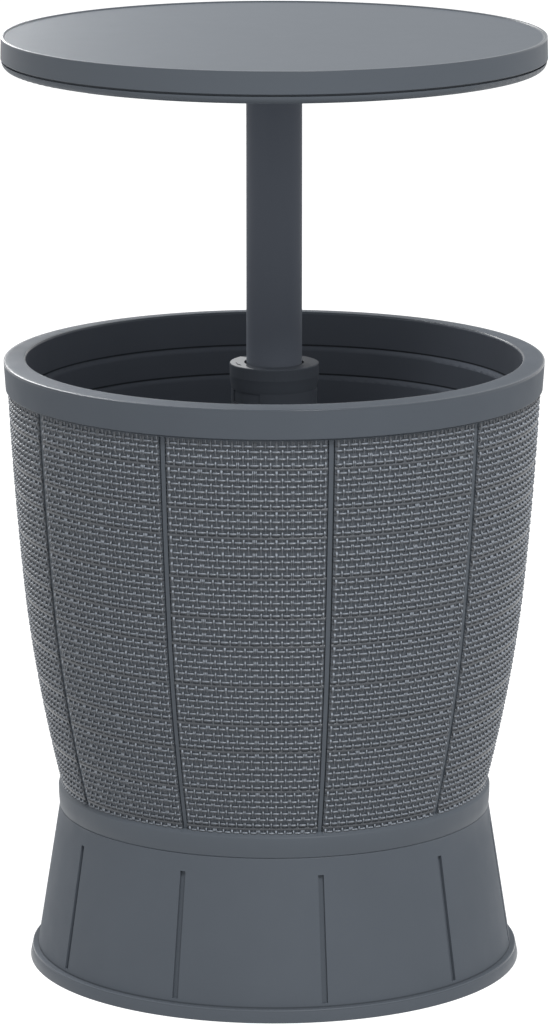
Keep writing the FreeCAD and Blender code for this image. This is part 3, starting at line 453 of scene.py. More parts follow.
@dataclass(frozen=True)
class RigidFoam:
    """Poured insulation foam: fine cells under a thin yellowish skin."""

    name: str
    colour: Colour
    cell: float = 0.0014
    cell_depth: float = 0.0003
    cell_shade: float = 0.8
    cloud_size: float = 0.04
    cloud_shade: float = 0.92
    roughness: float = 0.9

    def material(self) -> bpy.types.Material:
        """Build the material.

        Returns:
            The finish as a material.
        """
        sheet = NodeSheet(self.name)
        skin = sheet.skin()
        cells = sheet.add("ShaderNodeTexVoronoi")
        cells.inputs["Scale"].default_value = 1.0 / self.cell
        sheet.wire(sheet.place(), cells.inputs["Vector"])
        pores = sheet.spread(cells.outputs["Distance"], 0.0, 0.6)
        cloud = sheet.spread(sheet.noise(self.cloud_size, 3.0), *CLOUDY)
        body = sheet.tint(cloud, shade(self.colour, self.cloud_shade), self.colour)
        sheet.wire(sheet.tint(pores, body, shade(self.colour, self.cell_shade)), skin.inputs["Base Color"])
        sheet.wire(sheet.bump(pores, self.cell_depth), skin.inputs["Normal"])
        skin.inputs["Roughness"].default_value = self.roughness
        return sheet.material


@dataclass(frozen=True)
class SoftRubber:
    """Moulded rubber: matt, with a powdery bloom."""

    name: str
    colour: Colour
    roughness: Pair = (0.62, 0.8)
    bloom_size: float = 0.008
    bloom_shade: float = 2.0
    grain: float = 0.0006
    grain_depth: float = 0.00004

    def material(self) -> bpy.types.Material:
        """Build the material.

        Returns:
            The finish as a material.
        """
        sheet = NodeSheet(self.name)
        skin = sheet.skin()
        bloom = sheet.spread(sheet.noise(self.bloom_size, 5.0), 0.4, 0.75)
        pale = sheet.tint(bloom, self.colour, shade(self.colour, self.bloom_shade))
        sheet.wire(pale, skin.inputs["Base Color"])
        sheet.wire(sheet.spread(bloom, 0.0, 1.0, *self.roughness), skin.inputs["Roughness"])
        sheet.wire(sheet.bump(sheet.noise(self.grain, 2.0), self.grain_depth), skin.inputs["Normal"])
        return sheet.material


@dataclass(frozen=True)
class BrushedSteel:
    """Zinc-plated steel with turning marks and cloudy plating."""

    name: str
    colour: Colour
    roughness: Pair = (0.28, 0.42)
    mark: float = 0.0008
    mark_depth: float = 0.00002
    across: Triple = (1.0, 1.0, 12.0)
    cloud_size: float = 0.004
    cloud_shade: float = 0.85

    def material(self) -> bpy.types.Material:
        """Build the material.

        Returns:
            The finish as a material.
        """
        sheet = NodeSheet(self.name)
        skin = sheet.skin()
        marks = sheet.noise(self.mark, 3.0, self.across)
        cloud = sheet.spread(sheet.noise(self.cloud_size, 4.0), 0.35, 0.7)
        cloudy = sheet.tint(cloud, shade(self.colour, self.cloud_shade), self.colour)
        sheet.wire(cloudy, skin.inputs["Base Color"])
        sheet.wire(sheet.spread(marks, *CLOUDY, *self.roughness), skin.inputs["Roughness"])
        sheet.wire(sheet.bump(marks, self.mark_depth), skin.inputs["Normal"])
        skin.inputs["Metallic"].default_value = 1.0
        return sheet.material


@dataclass(frozen=True)
class StudioFloor:
    """Pale floor that looks white to the camera and still keeps the object's shadow."""

    name: str = "pale_floor"
    albedo: float = 0.50
    lift: float = 0.80

    def material(self) -> bpy.types.Material:
        """Build the material.

        Returns:
            The finish as a material.
        """
        sheet = NodeSheet(self.name)
        paint = sheet.add("ShaderNodeBsdfDiffuse")
        paint.inputs["Color"].default_value = (self.albedo, self.albedo, self.albedo, 1.0)
        glow = sheet.add("ShaderNodeEmission")
        seen = seen_directly(sheet.tree)
        sheet.wire(sheet.spread(seen, 0.0, 1.0, 0.0, self.lift), glow.inputs["Strength"])
        both = sheet.add("ShaderNodeAddShader")
        sheet.wire(paint.outputs["BSDF"], both.inputs[0])
        sheet.wire(glow.outputs["Emission"], both.inputs[1])
        sheet.wire(both.outputs["Shader"], sheet.output.inputs["Surface"])
        return sheet.material


@dataclass(frozen=True)
class Finishes:
    """All finishes of the object, by what they cover."""

    slate: MouldedPlastic = MouldedPlastic("slate_moulded", (0.104, 0.121, 0.143))
    # The foot's dark crease line at the flange ledge is painted shade.
    foot: MouldedPlastic = MouldedPlastic("slate_foot", (0.108, 0.125, 0.148), roughness=0.66, gloss=0.24,
                                          polish=0.15, painted_shade_heights=(0.0123,), painted_shade_factor=0.6,
                                          rubbed_lines=(0.0104,))
    rim: MouldedPlastic = MouldedPlastic("slate_rim", (0.106, 0.123, 0.146), roughness=0.62, gloss=0.22,
                                         wear_and_painted_highlight=0.86, polish=0.2)
    lid: MouldedPlastic = MouldedPlastic("slate_table_top", (0.104, 0.121, 0.143), variation=0.008,
                                         mottle=0.006, grain_depth=0.000004)
    weave: WovenPlastic = WovenPlastic("woven_strands", (0.129, 0.144, 0.166))
    backing: MouldedPlastic = MouldedPlastic("weave_backing", (0.106, 0.121, 0.142))
    # The liner's dark lines at its ledges are painted shade.
    liner: MouldedPlastic = MouldedPlastic("liner_moulded", (0.112, 0.126, 0.152), roughness=0.75, gloss=0.1,
                                           painted_shade_heights=(0.5357, 0.5089))
    # Darker than the slate plastic: the difference is painted shade from the table top's shadow.
    post: MouldedPlastic = MouldedPlastic("post_moulded", (0.080, 0.090, 0.108), gloss=0.1)
    # Painted light: the pale plate stands for a pool of light on the left of the collar's top.
    plate: MouldedPlastic = MouldedPlastic("painted_light_plate", (0.50, 0.52, 0.54), roughness=0.4)
    # Darker than the slate plastic: the difference is painted shade from the table top's shadow.
    collar: MouldedPlastic = MouldedPlastic("collar_moulded", (0.073, 0.083, 0.100), roughness=0.6,
                                            gloss=0.08, polish=0.5)
    # Coat darker than the slate plastic: the difference is painted shade from the table top's shadow.
    pole: CoatedTube = CoatedTube("pole_powder_coat", (0.085, 0.096, 0.117))
    bearing: MouldedPlastic = MouldedPlastic("bearing_moulded", (0.60, 0.59, 0.55), wear_and_painted_highlight=1.1)
    foam: RigidFoam = RigidFoam("poured_foam", (0.80, 0.77, 0.66))
    rubber: SoftRubber = SoftRubber("seal_rubber", (0.022, 0.022, 0.023))
    steel: BrushedSteel = BrushedSteel("plated_steel", (0.62, 0.62, 0.63))


Finish = MouldedPlastic | WovenPlastic | CoatedTube | RigidFoam | SoftRubber | BrushedSteel


def made(finish: Finish) -> bpy.types.Material:
    """Give a finish's material, built once."""
    return bpy.data.materials.get(finish.name) or finish.material()


def bowed(z: np.ndarray, low: Pair, high: Pair, bow: float) -> np.ndarray:
    """Give the radius of an outward-bowed wall.

    Args:
        z: Heights.
        low: Radius and height of the wall's foot.
        high: Radius and height of the wall's top.
        bow: Radius of the bow.

    Returns:
        The wall's radius at those heights.
    """
    half = math.hypot(high[0] - low[0], high[1] - low[1]) / 2
    back = math.sqrt(bow ** 2 - half ** 2)
    lean = math.atan2(high[0] - low[0], high[1] - low[1])
    centre_r = (low[0] + high[0]) / 2 - back * math.cos(lean)
    centre_z = (low[1] + high[1]) / 2 + back * math.sin(lean)
    return centre_r + np.sqrt(bow ** 2 - (z - centre_z) ** 2)


def mesh_piece(name: str, corners: np.ndarray, faces: np.ndarray, finish: bpy.types.Material,
               smooth: float | None = 35.0, wear_and_painted_light: np.ndarray | None = None) -> bpy.types.Object:
    """Make an object from corners and faces.

    Args:
        name: The piece's name.
        corners: Corner places in millimetres, one row each.
        faces: Corner numbers of each four-sided face, one row each.
        finish: Its material.
        smooth: Edges sharper than this many degrees stay sharp; None keeps all soft.
        wear_and_painted_light: Per corner from 0 to 1, for the finish: edge wear on turned pieces; on
            strands, painted shade at 0 in the hollows up to painted highlight at 1 on upper faces.

    Returns:
        The new object, in metres.
    """
    mesh = bpy.data.meshes.new(name)
    mesh.vertices.add(len(corners))
    mesh.vertices.foreach_set("co", (corners * MM).astype(np.float32).ravel())
    mesh.loops.add(faces.size)
    mesh.loops.foreach_set("vertex_index", faces.astype(np.int32).ravel())
    mesh.polygons.add(len(faces))
    mesh.polygons.foreach_set("loop_start", np.arange(0, faces.size, faces.shape[1], dtype=np.int32))
    mesh.update(calc_edges=True)
    mesh.validate()
    mesh.shade_smooth()
    if smooth is not None:
        mesh.set_sharp_from_angle(angle=math.radians(smooth))
    if wear_and_painted_light is not None:
        mesh.attributes.new("wear_and_painted_light", "FLOAT", "POINT").data.foreach_set("value", wear_and_painted_light.astype(np.float32))
    mesh.materials.append(finish)
    piece = bpy.data.objects.new(name, mesh)
    bpy.context.scene.collection.objects.link(piece)
    return piece


def close_up(mesh: bpy.types.Mesh, weld: float | None = None) -> None:
    """Close a mesh and turn all its faces outward.

    Args:
        mesh: The mesh.
        weld: Corners nearer than this many metres are joined; None fills the open ends instead.
    """
    work = bmesh.new()
    work.from_mesh(mesh)
    if weld is None:
        bmesh.ops.holes_fill(work, edges=work.edges, sides=0)
    else:
        bmesh.ops.remove_doubles(work, verts=work.verts, dist=weld)
    bmesh.ops.recalc_face_normals(work, faces=work.faces)
    work.to_mesh(mesh)
    work.free()


def grid_faces(rows: int, columns: int, loop_rows: bool = False, loop_columns: bool = False) -> np.ndarray:
    """Number the faces of a grid of corners.

    Args:
        rows: Corners along the first axis.
        columns: Corners along the second axis.
        loop_rows: Whether the last row joins the first.
        loop_columns: Whether the last column joins the first.

    Returns:
        Four corner numbers per face.
    """
    row = np.arange(rows if loop_rows else rows - 1)
    column = np.arange(columns if loop_columns else columns - 1)
    r, c = np.meshgrid(row, column, indexing="ij")
    up, on = (r + 1) % rows, (c + 1) % columns
    around = [r * columns + c, r * columns + on, up * columns + on, up * columns + c]
    return np.stack(around, -1).reshape(-1, 4)


def turned(radius: np.ndarray, angle: np.ndarray, height: np.ndarray) -> np.ndarray:
    """Give corner places from radius, angle in radians and height."""
    places = [radius * np.cos(angle), radius * np.sin(angle), height + 0 * radius]
    return np.stack(places, -1).reshape(-1, 3)


def strand(radius: np.ndarray, angle: np.ndarray, height: np.ndarray, wear_and_painted_light: np.ndarray) -> Strands:
    """Give one strand's surface from grids that have its length first and its round second.

    Args:
        radius: Radius of each corner in millimetres.
        angle: Angle of each corner in radians.
        height: Height of each corner in millimetres.
        wear_and_painted_light: Painted light of each corner, from painted shade at 0 to painted highlight at
            1.

    Returns:
        Corners as radius, angle and height, the faces, and the painted light.
    """
    grids = np.broadcast_arrays(radius, angle, height, wear_and_painted_light)
    return np.stack(grids[:3], -1).reshape(-1, 3), grid_faces(*grids[0].shape), grids[3].ravel()


def joined(strands: list[Strands]) -> Strands:
    """Join strands into one surface.

    Args:
        strands: Corners, faces and painted light of each strand.

    Returns:
        Corners, faces and wear of them all.
    """
    firsts = np.cumsum([0] + [len(corners) for corners, _, _ in strands])
    return (np.concatenate([corners for corners, _, _ in strands]),
            np.concatenate([faces + first for (_, faces, _), first in zip(strands, firsts)]),
            np.concatenate([wear_and_painted_light for _, _, wear_and_painted_light in strands]))


def lathe(name: str, outline: list[Triple], finish: bpy.types.Material, segments: int = 360,
          smooth: float = 30.0) -> bpy.types.Object:
    """Turn a closed outline round the upright axis.

    Args:
        name: The piece's name.
        outline: Radius and height in millimetres and wear of each point, in order round the section.
        finish: Its material.
        segments: Steps round the axis.
        smooth: Edges sharper than this many degrees stay sharp.

    Returns:
        The new object.
    """
    points = np.array(outline)
    turns = np.linspace(0, 2 * math.pi, segments, endpoint=False)
    shape = (len(points), segments)
    radius, height, wear_and_painted_light = (np.broadcast_to(points[:, part:part + 1], shape) for part in range(3))
    corners = turned(radius, np.broadcast_to(turns[None, :], shape), height)
    faces = grid_faces(*shape, loop_rows=True, loop_columns=True)[:, ::-1]
    piece = mesh_piece(name, corners, faces, finish, None, wear_and_painted_light.ravel())
    close_up(piece.data, weld=1e-7)
    piece.data.set_sharp_from_angle(angle=math.radians(smooth))
    return piece


def round_off(centre: Pair, radius: float, start: float, end: float, wear_and_painted_light: float,
              steps: int = 5) -> list[Triple]:
    """Give the points of a rounded edge of an outline.

    Args:
        centre: Radius and height of the rounding's middle.
        radius: Size of the rounding.
        start: First angle in degrees; 0 points outward and 90 up.
        end: Last angle.
        wear_and_painted_light: How worn the edge is.
        steps: Points on the edge.

    Returns:
        Radius, height and wear of each point.
    """
    angles = np.radians(np.linspace(start, end, steps))
    return [(centre[0] + radius * math.cos(a), centre[1] + radius * math.sin(a), wear_and_painted_light) for a in angles]


@dataclass
class TableTop:
    """Round table top that is also the tub's lid: a skirted tray with a narrow raised lip."""

    finishes: Finishes
    foot: Pair = (248.3, 844.2)
    brow: Pair = (247.8, 863.6)
    foot_bevel: float = 0.3
    skirt_slack: float = 0.02
    skirt_ends: Pair = (1.0, 0.8)
    crown: float = 1.0
    edge_round: float = 0.7
    lip_width: float = 2.2
    lip_round: float = 0.4
    # Where the lip runs into the dish: outward from the lip's edge, up from the dish, and wear.
    dish_curve: tuple[Triple, ...] = ((-0.1, 0.4, 1.0), (-0.5, 0.1, 1.0), (-1.2, 0.0, 0.5),
                                      (-2.2, 0.0, 0.0))
    dish_depth: float = 1.2
    dish_rings: tuple[float, ...] = (200.0, 140.0, 80.0, 30.0, 0.0)
    wall: float = 3.0
    underside: float = 238.0
    underside_drop: float = 2.0

    def build(self) -> bpy.types.Object:
        """Build the table top.

        Returns:
            The top, riding on the table in place of its plain solid.
        """
        (foot, low), (brow, high) = self.foot, self.brow
        top = high + self.crown
        dish = top - self.dish_depth
        floor = dish - self.wall
        lip = brow - self.edge_round - self.lip_width
        outline = [(foot - self.wall, low, 0.0), (foot - self.foot_bevel, low, 0.0),
                   (foot, low + self.foot_bevel, 0.4),
                   (foot - self.skirt_slack, low + self.skirt_ends[0], 0.0),
                   (brow + self.skirt_slack, high - self.skirt_ends[1], 0.0)]
        edge = self.edge_round
        outline += round_off((brow - edge, top - edge), edge, 0, 90, 1.0)
        outline += [(lip + 2 * self.lip_round, top, 0.4)]
        outline += round_off((lip + self.lip_round, top - self.lip_round), self.lip_round, 90, 180, 1.0, 3)
        outline += [(lip + out, dish + up, wear_and_painted_light) for out, up, wear_and_painted_light in self.dish_curve]
        outline += [(ring, dish, 0.0) for ring in self.dish_rings]
        outline += [(0.0, floor, 0.0), (self.underside, floor, 0.0),
                    (foot - self.wall, floor - self.underside_drop, 0.0)]
        piece = lathe("table_top_tray", outline, made(self.finishes.lid))
        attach(piece, Body.TABLE.value)
        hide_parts("lid_top")
        return piece


@dataclass
class RimCap:
    """Smooth ring that caps the tub: an outer band and a top that falls slightly outward."""

    finishes: Finishes
    foot: Pair = (246.6, 539.6)
    foot_bevel: float = 0.4
    band_start: Pair = (0.07, 1.2)
    brow: Pair = (248.3, 564.8)
    band_end: Pair = (-0.1, -1.2)
    brow_round: float = 1.0
    brow_lift: float = 0.65
    # Radius, height and wear of the top's points, and of the points where it turns down to the well.
    top: tuple[Triple, ...] = ((246.2, 566.6, 0.2), (243.0, 566.95, 0.0), (237.5, 567.45, 0.0),
                               (231.4, 568.0, 0.0))
    inner_edge: tuple[Triple, ...] = ((229.4, 568.0, 0.2), (228.8, 567.8, 1.0), (228.3, 567.3, 1.0),
                                      (227.85, 566.0, 0.2))
    bore: Pair = (229.95, 565.6)
    bore_draft: float = 0.05
    channel: Pair = (243.9, 562.0)

    def build(self) -> bpy.types.Object:
        """Build the ring.

        Returns:
            The ring, riding on the tub in place of its plain solid.
        """
        (foot, low), (brow, high), (wall, roof) = self.foot, self.brow, self.channel
        outline = [(wall, low, 0.0), (foot - self.foot_bevel, low, 0.0), (foot, low + self.foot_bevel, 0.3),
                   (foot + self.band_start[0], low + self.band_start[1], 0.0),
                   (brow + self.band_end[0], high + self.band_end[1], 0.0)]
        middle = (brow - self.brow_round, high + self.brow_lift)
        outline += round_off(middle, self.brow_round, 0, 85, 1.0, 6)
        outline += [*self.top, *self.inner_edge, (*self.bore, 0.0),
                    (self.bore[0] + self.bore_draft, roof, 0.0), (wall, roof, 0.0)]
        piece = lathe("tub_rim_cap", outline, made(self.finishes.rim))
        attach(piece, Body.TUB.value)
        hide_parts("rim_ring")
        return piece


@dataclass
class Collar:
    """Details of the collar: a taper below its cap, and a pale plate with a turning arrow; the plate is
    painted light, a pool of light on the cap's top.
    """

    finishes: Finishes
    cap_radius: float = 41.0
    cap_foot: float = 551.5
    cap_top: float = 562.2
    sleeve_radius: float = 39.5
    taper_foot: float = 539.4
    taper_start: Pair = (-0.45, -5.0)
    taper_end: Pair = (0.4, 3.0)
    taper_gap: float = 0.03
    taper_overlap: float = 0.5
    plate_height: float = 0.25
    plate_sunk: float = 0.2
    plate_bevel: float = 0.08
    plate_radii: Pair = (27.7, 40.3)
    plate_turns: Pair = (140.0, 242.0)
    plate_cut: float = 204.0
    plate_tip: float = 0.97
    plate_steps: int = 60
    arrow_inset: float = 7.5
    arrow_turns: Pair = (186.0, 26.0)
    arrow_neck: float = 0.6
    arrow_halves: Pair = (0.45, 1.6)
    arrow_tip: float = 0.02
    arrow_height: float = 0.1
    arrow_steps: int = 24

    def build_taper(self) -> bpy.types.Object:
        """Build the taper that leads from the cap to the sleeve.

        Returns:
            The taper, riding on the tub.
        """
        inside = self.sleeve_radius - self.taper_overlap
        outline = [(inside, self.cap_foot, 0.0), (self.cap_radius, self.cap_foot, 0.0),
                   (self.cap_radius + self.taper_start[0], self.cap_foot + self.taper_start[1], 0.0),
                   (self.sleeve_radius + self.taper_end[0], self.taper_foot + self.taper_end[1], 0.0),
                   (self.sleeve_radius + self.taper_gap, self.taper_foot, 0.0),
                   (inside, self.taper_foot, 0.0)]
        piece = lathe("collar_taper", outline, made(self.finishes.collar), segments=160, smooth=50.0)
        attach(piece, Body.TUB.value)
        return piece

    def plate(self, name: str, inner: np.ndarray, outer: np.ndarray, turns: np.ndarray, low: float,
              high: float, finish: bpy.types.Material) -> bpy.types.Object:
        """Build a thin curved plate on the cap.

        Args:
            name: The piece's name.
            inner: Inner radius along the plate, in millimetres.
            outer: Outer radius along it.
            turns: Angles along it, in degrees.
            low: Height of its underside.
            high: Height of its face.
            finish: Its material.

        Returns:
            The plate, riding on the tub.
        """
        angle = np.radians(turns)
        bevel = self.plate_bevel
        section = [(inner, low), (outer, low), (outer, high - bevel), (outer - bevel, high),
                   (inner + bevel, high), (inner, high - bevel)]
        radius = np.array([np.broadcast_to(r, angle.shape) for r, _ in section])
        height = np.array([np.full(angle.shape, z) for _, z in section])
        corners = turned(radius, np.broadcast_to(angle, radius.shape), height)
        faces = grid_faces(len(section), len(angle), loop_rows=True)[:, ::-1]
        piece = mesh_piece(name, corners, faces, finish, smooth=30.0)
        close_up(piece.data)
        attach(piece, Body.TUB.value)
        return piece

    def build_plate(self) -> list[bpy.types.Object]:
        """Build the pale plate, which paints a pool of light on the cap's top, and the plain curved arrow on
        it.

        Returns:
            Plate and arrow, riding on the tub.
        """
        (near, far), (_, last) = self.plate_radii, self.plate_turns
        turns = np.linspace(*self.plate_turns, self.plate_steps)
        face = self.cap_top + self.plate_height
        slant = np.clip((turns - self.plate_cut) / (last - self.plate_cut), 0.0, self.plate_tip)
        # The pale plate is painted light on the cap's top.
        pale = self.plate("collar_painted_light_plate", near + (far - near) * slant, np.full(self.plate_steps, far), turns,
                          self.cap_top - self.plate_sunk, face, made(self.finishes.plate))
        share = np.linspace(0, 1, self.arrow_steps)
        shaft, head = self.arrow_halves
        half = np.where(share < self.arrow_neck, shaft,
                        head * (1 - share) / (1 - self.arrow_neck) + self.arrow_tip)
        middle = near + self.arrow_inset
        start, length = self.arrow_turns
        arrow = self.plate("collar_arrow", middle - half, middle + half, start + length * share,
                           face - self.arrow_height, face + self.arrow_height, made(self.finishes.rubber))
        return [pale, arrow]


@dataclass
class WovenShell:
    """Tub shell: smooth foot band, ten woven panels between upright grooves, neck."""

    finishes: Finishes
    foot: Pair = (198.4, 167.5)
    foot_inset: float = 5.0
    waist: Pair = (230.0, 340.0)
    top: Pair = (244.7, 534.8)
    lower_bow: float = 1390.0
    upper_bow: float = 3473.0
    band: tuple[Pair, ...] = ((199.4, 145.8), (200.2, 146.6), (200.9, 156.0), (201.0, 164.0), (200.8, 165.1),
                              (200.2, 165.7), (199.5, 165.9))
    neck: tuple[Pair, ...] = ((244.7, 538.2), (244.2, 539.2), (243.6, 539.3), (243.6, 560.1), (239.7, 560.1))
    wall: float = 3.4
    wall_rings: Pair = (440.0, 250.0)
    panels: int = 10
    first_groove: float = 30.0
    groove_degrees: float = 1.45
    groove_round: float = 0.08
    groove_depth: float = 3.2
    groove_cuts: Pair = (2.8, 0.6)
    backing_depth: float = 2.3
    backing_fade: float = 1.2
    backing_columns: int = 26
    backing_rows: int = 70
    # Backing's lowest ring over the band, its highest under the weave's end, and how far past it fades.
    backing_ends: Triple = (0.3, 1.0, 0.2)
    weave_end: float = 538.0
    strand_depth: float = 1.4
    dive: float = 1.6
    # Upright strands: column widths that repeat, and how many thin strands fill the broad columns.
    warps: int = 30
    warp_widths: tuple[float, ...] = (6.2, 4.35, 4.35, 5.3, 4.35, 4.35, 6.8, 4.35, 4.35, 4.35)
    warp_share: float = 0.42
    bundles: dict[float, int] = field(default_factory=lambda: {5.3: 2, 6.8: 3})
    bundle_pitch: float = 0.0062
    bundle_half: float = 0.42
    # From one level strand to the next: share of the way, how far out an upright strand lies where it
    # starts on top and where it starts below (1 is outermost, -1 innermost), and painted light, highest on
    # the upper shoulder.
    warp_path: tuple[tuple[float, ...], ...] = (
        (0.0, 0.95, -1.0, 0.3), (0.18, 0.45, -1.0, 0.25), (0.36, -0.4, -1.0, 0.25), (0.52, -0.9, -0.4, 0.6),
        (0.66, -1.0, 0.6, 1.1), (0.82, -1.0, 1.0, 0.9))
    warp_start: tuple[float, ...] = (0.4, -1.0, 0.3)
    warp_inset: float = 0.2
    warp_tail: float = 6.0
    warp_round: tuple[float, ...] = (-90.0, -40.0, 40.0, 90.0)
    # Painted light round an upright strand: painted highlight on its crest, painted shade on its sides.
    warp_round_light: tuple[float, ...] = (0.0, 1.0, 1.0, 0.0)
    warp_squeeze: float = 0.1
    warp_sunk: float = 0.05
    hidden_level: float = -0.6
    # An upright strand that dips below hidden_level has its painted light cut by this factor, as painted
    # shade.
    hidden_shade: float = 0.45
    # Level strands: letters name the steps between them, and the row of letters repeats down the tub.
    weft_first: float = 532.5
    weft_second: float = 5.0
    weft_last: float = 171.0
    weft_rhythm: str = "ppbpsppsbppsbsfs"
    weft_steps: dict[str, float] = field(default_factory=lambda: {"p": 6.23, "s": 5.24, "b": 7.93, "f": 7.0})
    weft_height: float = 2.3
    # From one column to the next, as in warp_path, and the same for the strand's tucked end.
    weft_path: tuple[tuple[float, ...], ...] = (
        (0.0, 1.0, -1.0, 0.9), (0.3, 1.0, 0.0, 1.1), (0.5, 0.85, 0.85, 1.0), (0.7, 0.0, 1.0, 0.8))
    weft_end: tuple[tuple[float, ...], ...] = ((0, -1.6, -1.6, 0.3), (0, -0.6, -0.6, 0.3))
    weft_tuck: float = 0.0012
    weft_round: tuple[float, ...] = (-90.0, -50.0, -15.0, 15.0, 50.0, 90.0)
    # Painted light round a level strand: painted highlight on its upper side, painted shade on its lower
    # side.
    weft_round_light: tuple[float, ...] = (0.0, 0.0, 0.0, 0.4, 1.0, 0.85)
    # Painted light of a level strand at its middle level, what it gains on top, and the least it has.
    weft_light: Triple = (0.35, 0.65, 0.2)
    row_slack: float = 0.1
    band_drop: float = 3.4
    band_height: float = 2.8
    band_sunk: float = 1.3
    band_steps: int = 40
    # Across a flat band: height, with 1 for its edge, depth of the corner in millimetres, and painted light,
    # low so the band gets painted shade.
    band_section: tuple[Triple, ...] = ((-1.0, 1.5, 0.0), (-0.8, 0.0, 0.08), (0.8, 0.0, 0.16),
                                        (1.0, 1.5, 0.04))

    def radius(self, z: float | np.ndarray) -> np.ndarray:
        """Give the radius of the woven wall's outermost points.

        Args:
            z: Height, or heights.

        Returns:
            The radius at each height.
        """
        z = np.asarray(z)
        low = bowed(z, self.foot, self.waist, self.lower_bow)
        high = bowed(np.minimum(z, self.top[1]), self.waist, self.top, self.upper_bow)
        return np.where(z < self.waist[1], low, high)

    def panel_span(self) -> float:
        """Give the angle that a panel covers between its grooves, in radians."""
        return math.radians(360.0 / self.panels - self.groove_degrees)

    def panel_turn(self, number: int) -> float:
        """Give the angle of a panel's middle, in radians."""
        return math.radians(self.first_groove + 360.0 / self.panels * number + 180.0 / self.panels)

    def weft_heights(self) -> list[float]:
        """Give the heights of the level strands.

        Returns:
            The heights, from the top down.
        """
        heights = [self.weft_first, self.weft_first - self.weft_second]
        step = 0
        while heights[-1] > self.weft_last + self.weft_second:
            heights.append(heights[-1] - self.weft_steps[self.weft_rhythm[step % len(self.weft_rhythm)]])
            step += 1
        return heights

    def wall_columns(self) -> tuple[np.ndarray, np.ndarray]:
        """Give the columns of corners of the wall, close together at its grooves.

        Returns:
            Angle of each column in radians, and how deep it is cut, with 0 for the plain backing.
        """
        half, soft = math.radians(self.groove_degrees / 2), math.radians(self.groove_round)
        pitch = 2 * math.pi / self.panels
        side, middle = self.groove_cuts
        groove = ((-half - soft, 0.0), (-half, side), (-half + 2 * soft, side), (-half + 3 * soft, middle),
                  (0.0, middle), (half - 3 * soft, middle), (half - 2 * soft, side), (half, side),
                  (half + soft, 0.0))
        turns, cuts = [], []
        for number in range(self.panels):
            start = math.radians(self.first_groove) + pitch * number
            for offset, cut in groove:
                turns.append(start + offset)
                cuts.append(cut)
            for share in np.linspace(0, 1, self.backing_columns)[1:-1]:
                turns.append(start + half + soft + share * (pitch - 2 * half - 2 * soft))
                cuts.append(0.0)
        return np.array(turns), np.array(cuts)

    def build_shell(self) -> bpy.types.Object:
        """Build the closed wall behind the strands, with its grooves.

        Returns:
            The wall, riding on the tub in place of the plain shell.
        """
        angle, cut = self.wall_columns()
        low, fade, end = self.foot[1], self.backing_fade, self.weave_end
        over, under, past = self.backing_ends
        woven = [low + over, *np.linspace(low + fade, end - under, self.backing_rows), end]
        rings = [(z, np.full_like(angle, r)) for r, z in self.band]
        for z in woven:
            edge = min(1.0, (z - low) / fade, (end + past - z) / fade)
            sunk = edge * (self.backing_depth + (self.groove_depth - self.backing_depth) * cut)
            rings.append((z, self.radius(z) - sunk))
        rings += [(z, np.full_like(angle, r)) for r, z in self.neck]
        upper, lower = self.wall_rings
        rings += [(z, np.full_like(angle, self.radius(z) - self.wall - self.backing_depth))
                  for z in (self.top[1], upper, self.waist[1], lower, low)]
        rings.append((self.band[0][1], np.full_like(angle, self.foot[0] - self.foot_inset)))
        shape = (len(rings), len(angle))
        height = np.broadcast_to(np.array([z for z, _ in rings])[:, None], shape)
        corners = turned(np.array([ring for _, ring in rings]), np.broadcast_to(angle, shape), height)
        faces = grid_faces(*shape, loop_rows=True, loop_columns=True)
        wall = mesh_piece("woven_tub_wall", corners, faces, made(self.finishes.slate))
        wall.data.materials.append(made(self.finishes.backing))
        first, last = len(self.band), len(self.band) + len(woven) - 1
        backed = np.zeros(shape, np.int32)
        backed[first:last] = (cut + np.roll(cut, -1))[None, :] == 0.0
        wall.data.polygons.foreach_set("material_index", backed.ravel())
        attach(wall, Body.TUB.value)
        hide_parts("weave_shell")
        return wall

    def warp_places(self) -> tuple[np.ndarray, list[tuple[int, float, float]]]:
        """Give the upright strands' places across a panel.

        Returns:
            Middle of each column as an angle in radians from the panel's middle, and the column, middle
            and half width of each strand; a broad column holds a bundle of thinner strands.
        """
        widths = np.array([self.warp_widths[k % len(self.warp_widths)] for k in range(self.warps)])
        span = self.panel_span()
        bounds = np.concatenate([[0.0], np.cumsum(widths)]) / widths.sum() * span - span / 2
        middle = (bounds[1:] + bounds[:-1]) / 2
        pitch = bounds[1:] - bounds[:-1]
        strands = []
        for k in range(self.warps):
            count = self.bundles.get(widths[k], 1)
            half = self.bundle_pitch * self.bundle_half if count > 1 else pitch[k] * self.warp_share / 2
            for side in range(count):
                strands.append((k, middle[k] + (side - (count - 1) / 2) * self.bundle_pitch, half))
        return middle, strands

    def warp_strands(self, heights: list[float]) -> Strands:
        """Shape the upright strands of one panel.

        Args:
            heights: Heights of the level strands.

        Returns:
            Corners as radius, angle and height, the faces, and each corner's painted light.
        """
        marks = [(self.weave_end - self.warp_inset, -1, *self.warp_start)]
        for row, (z, after) in enumerate(zip(heights, [*heights[1:], heights[-1] - self.warp_tail])):
            marks += [(z + (after - z) * share, row, *levels) for share, *levels in self.warp_path]
        height, row, sinking, rising, strand_light = np.array(marks).T
        rounds = np.radians(self.warp_round)
        strands = []
        for k, middle, half in self.warp_places()[1]:
            over = np.where((row + k) % 2 == 0, sinking, rising)
            out = self.radius(height) - self.dive * (1 - over) / 2 - self.warp_sunk
            radius = out[:, None] - self.strand_depth * (1 - np.cos(rounds))
            angle = middle + half * (1.0 - self.warp_squeeze * over)[:, None] * np.sin(rounds)
            shown = strand_light * np.where(over > self.hidden_level, 1.0, self.hidden_shade)
            strands.append(strand(radius, angle, height[:, None],
                                  shown[:, None] * np.array(self.warp_round_light)))
        return joined(strands)

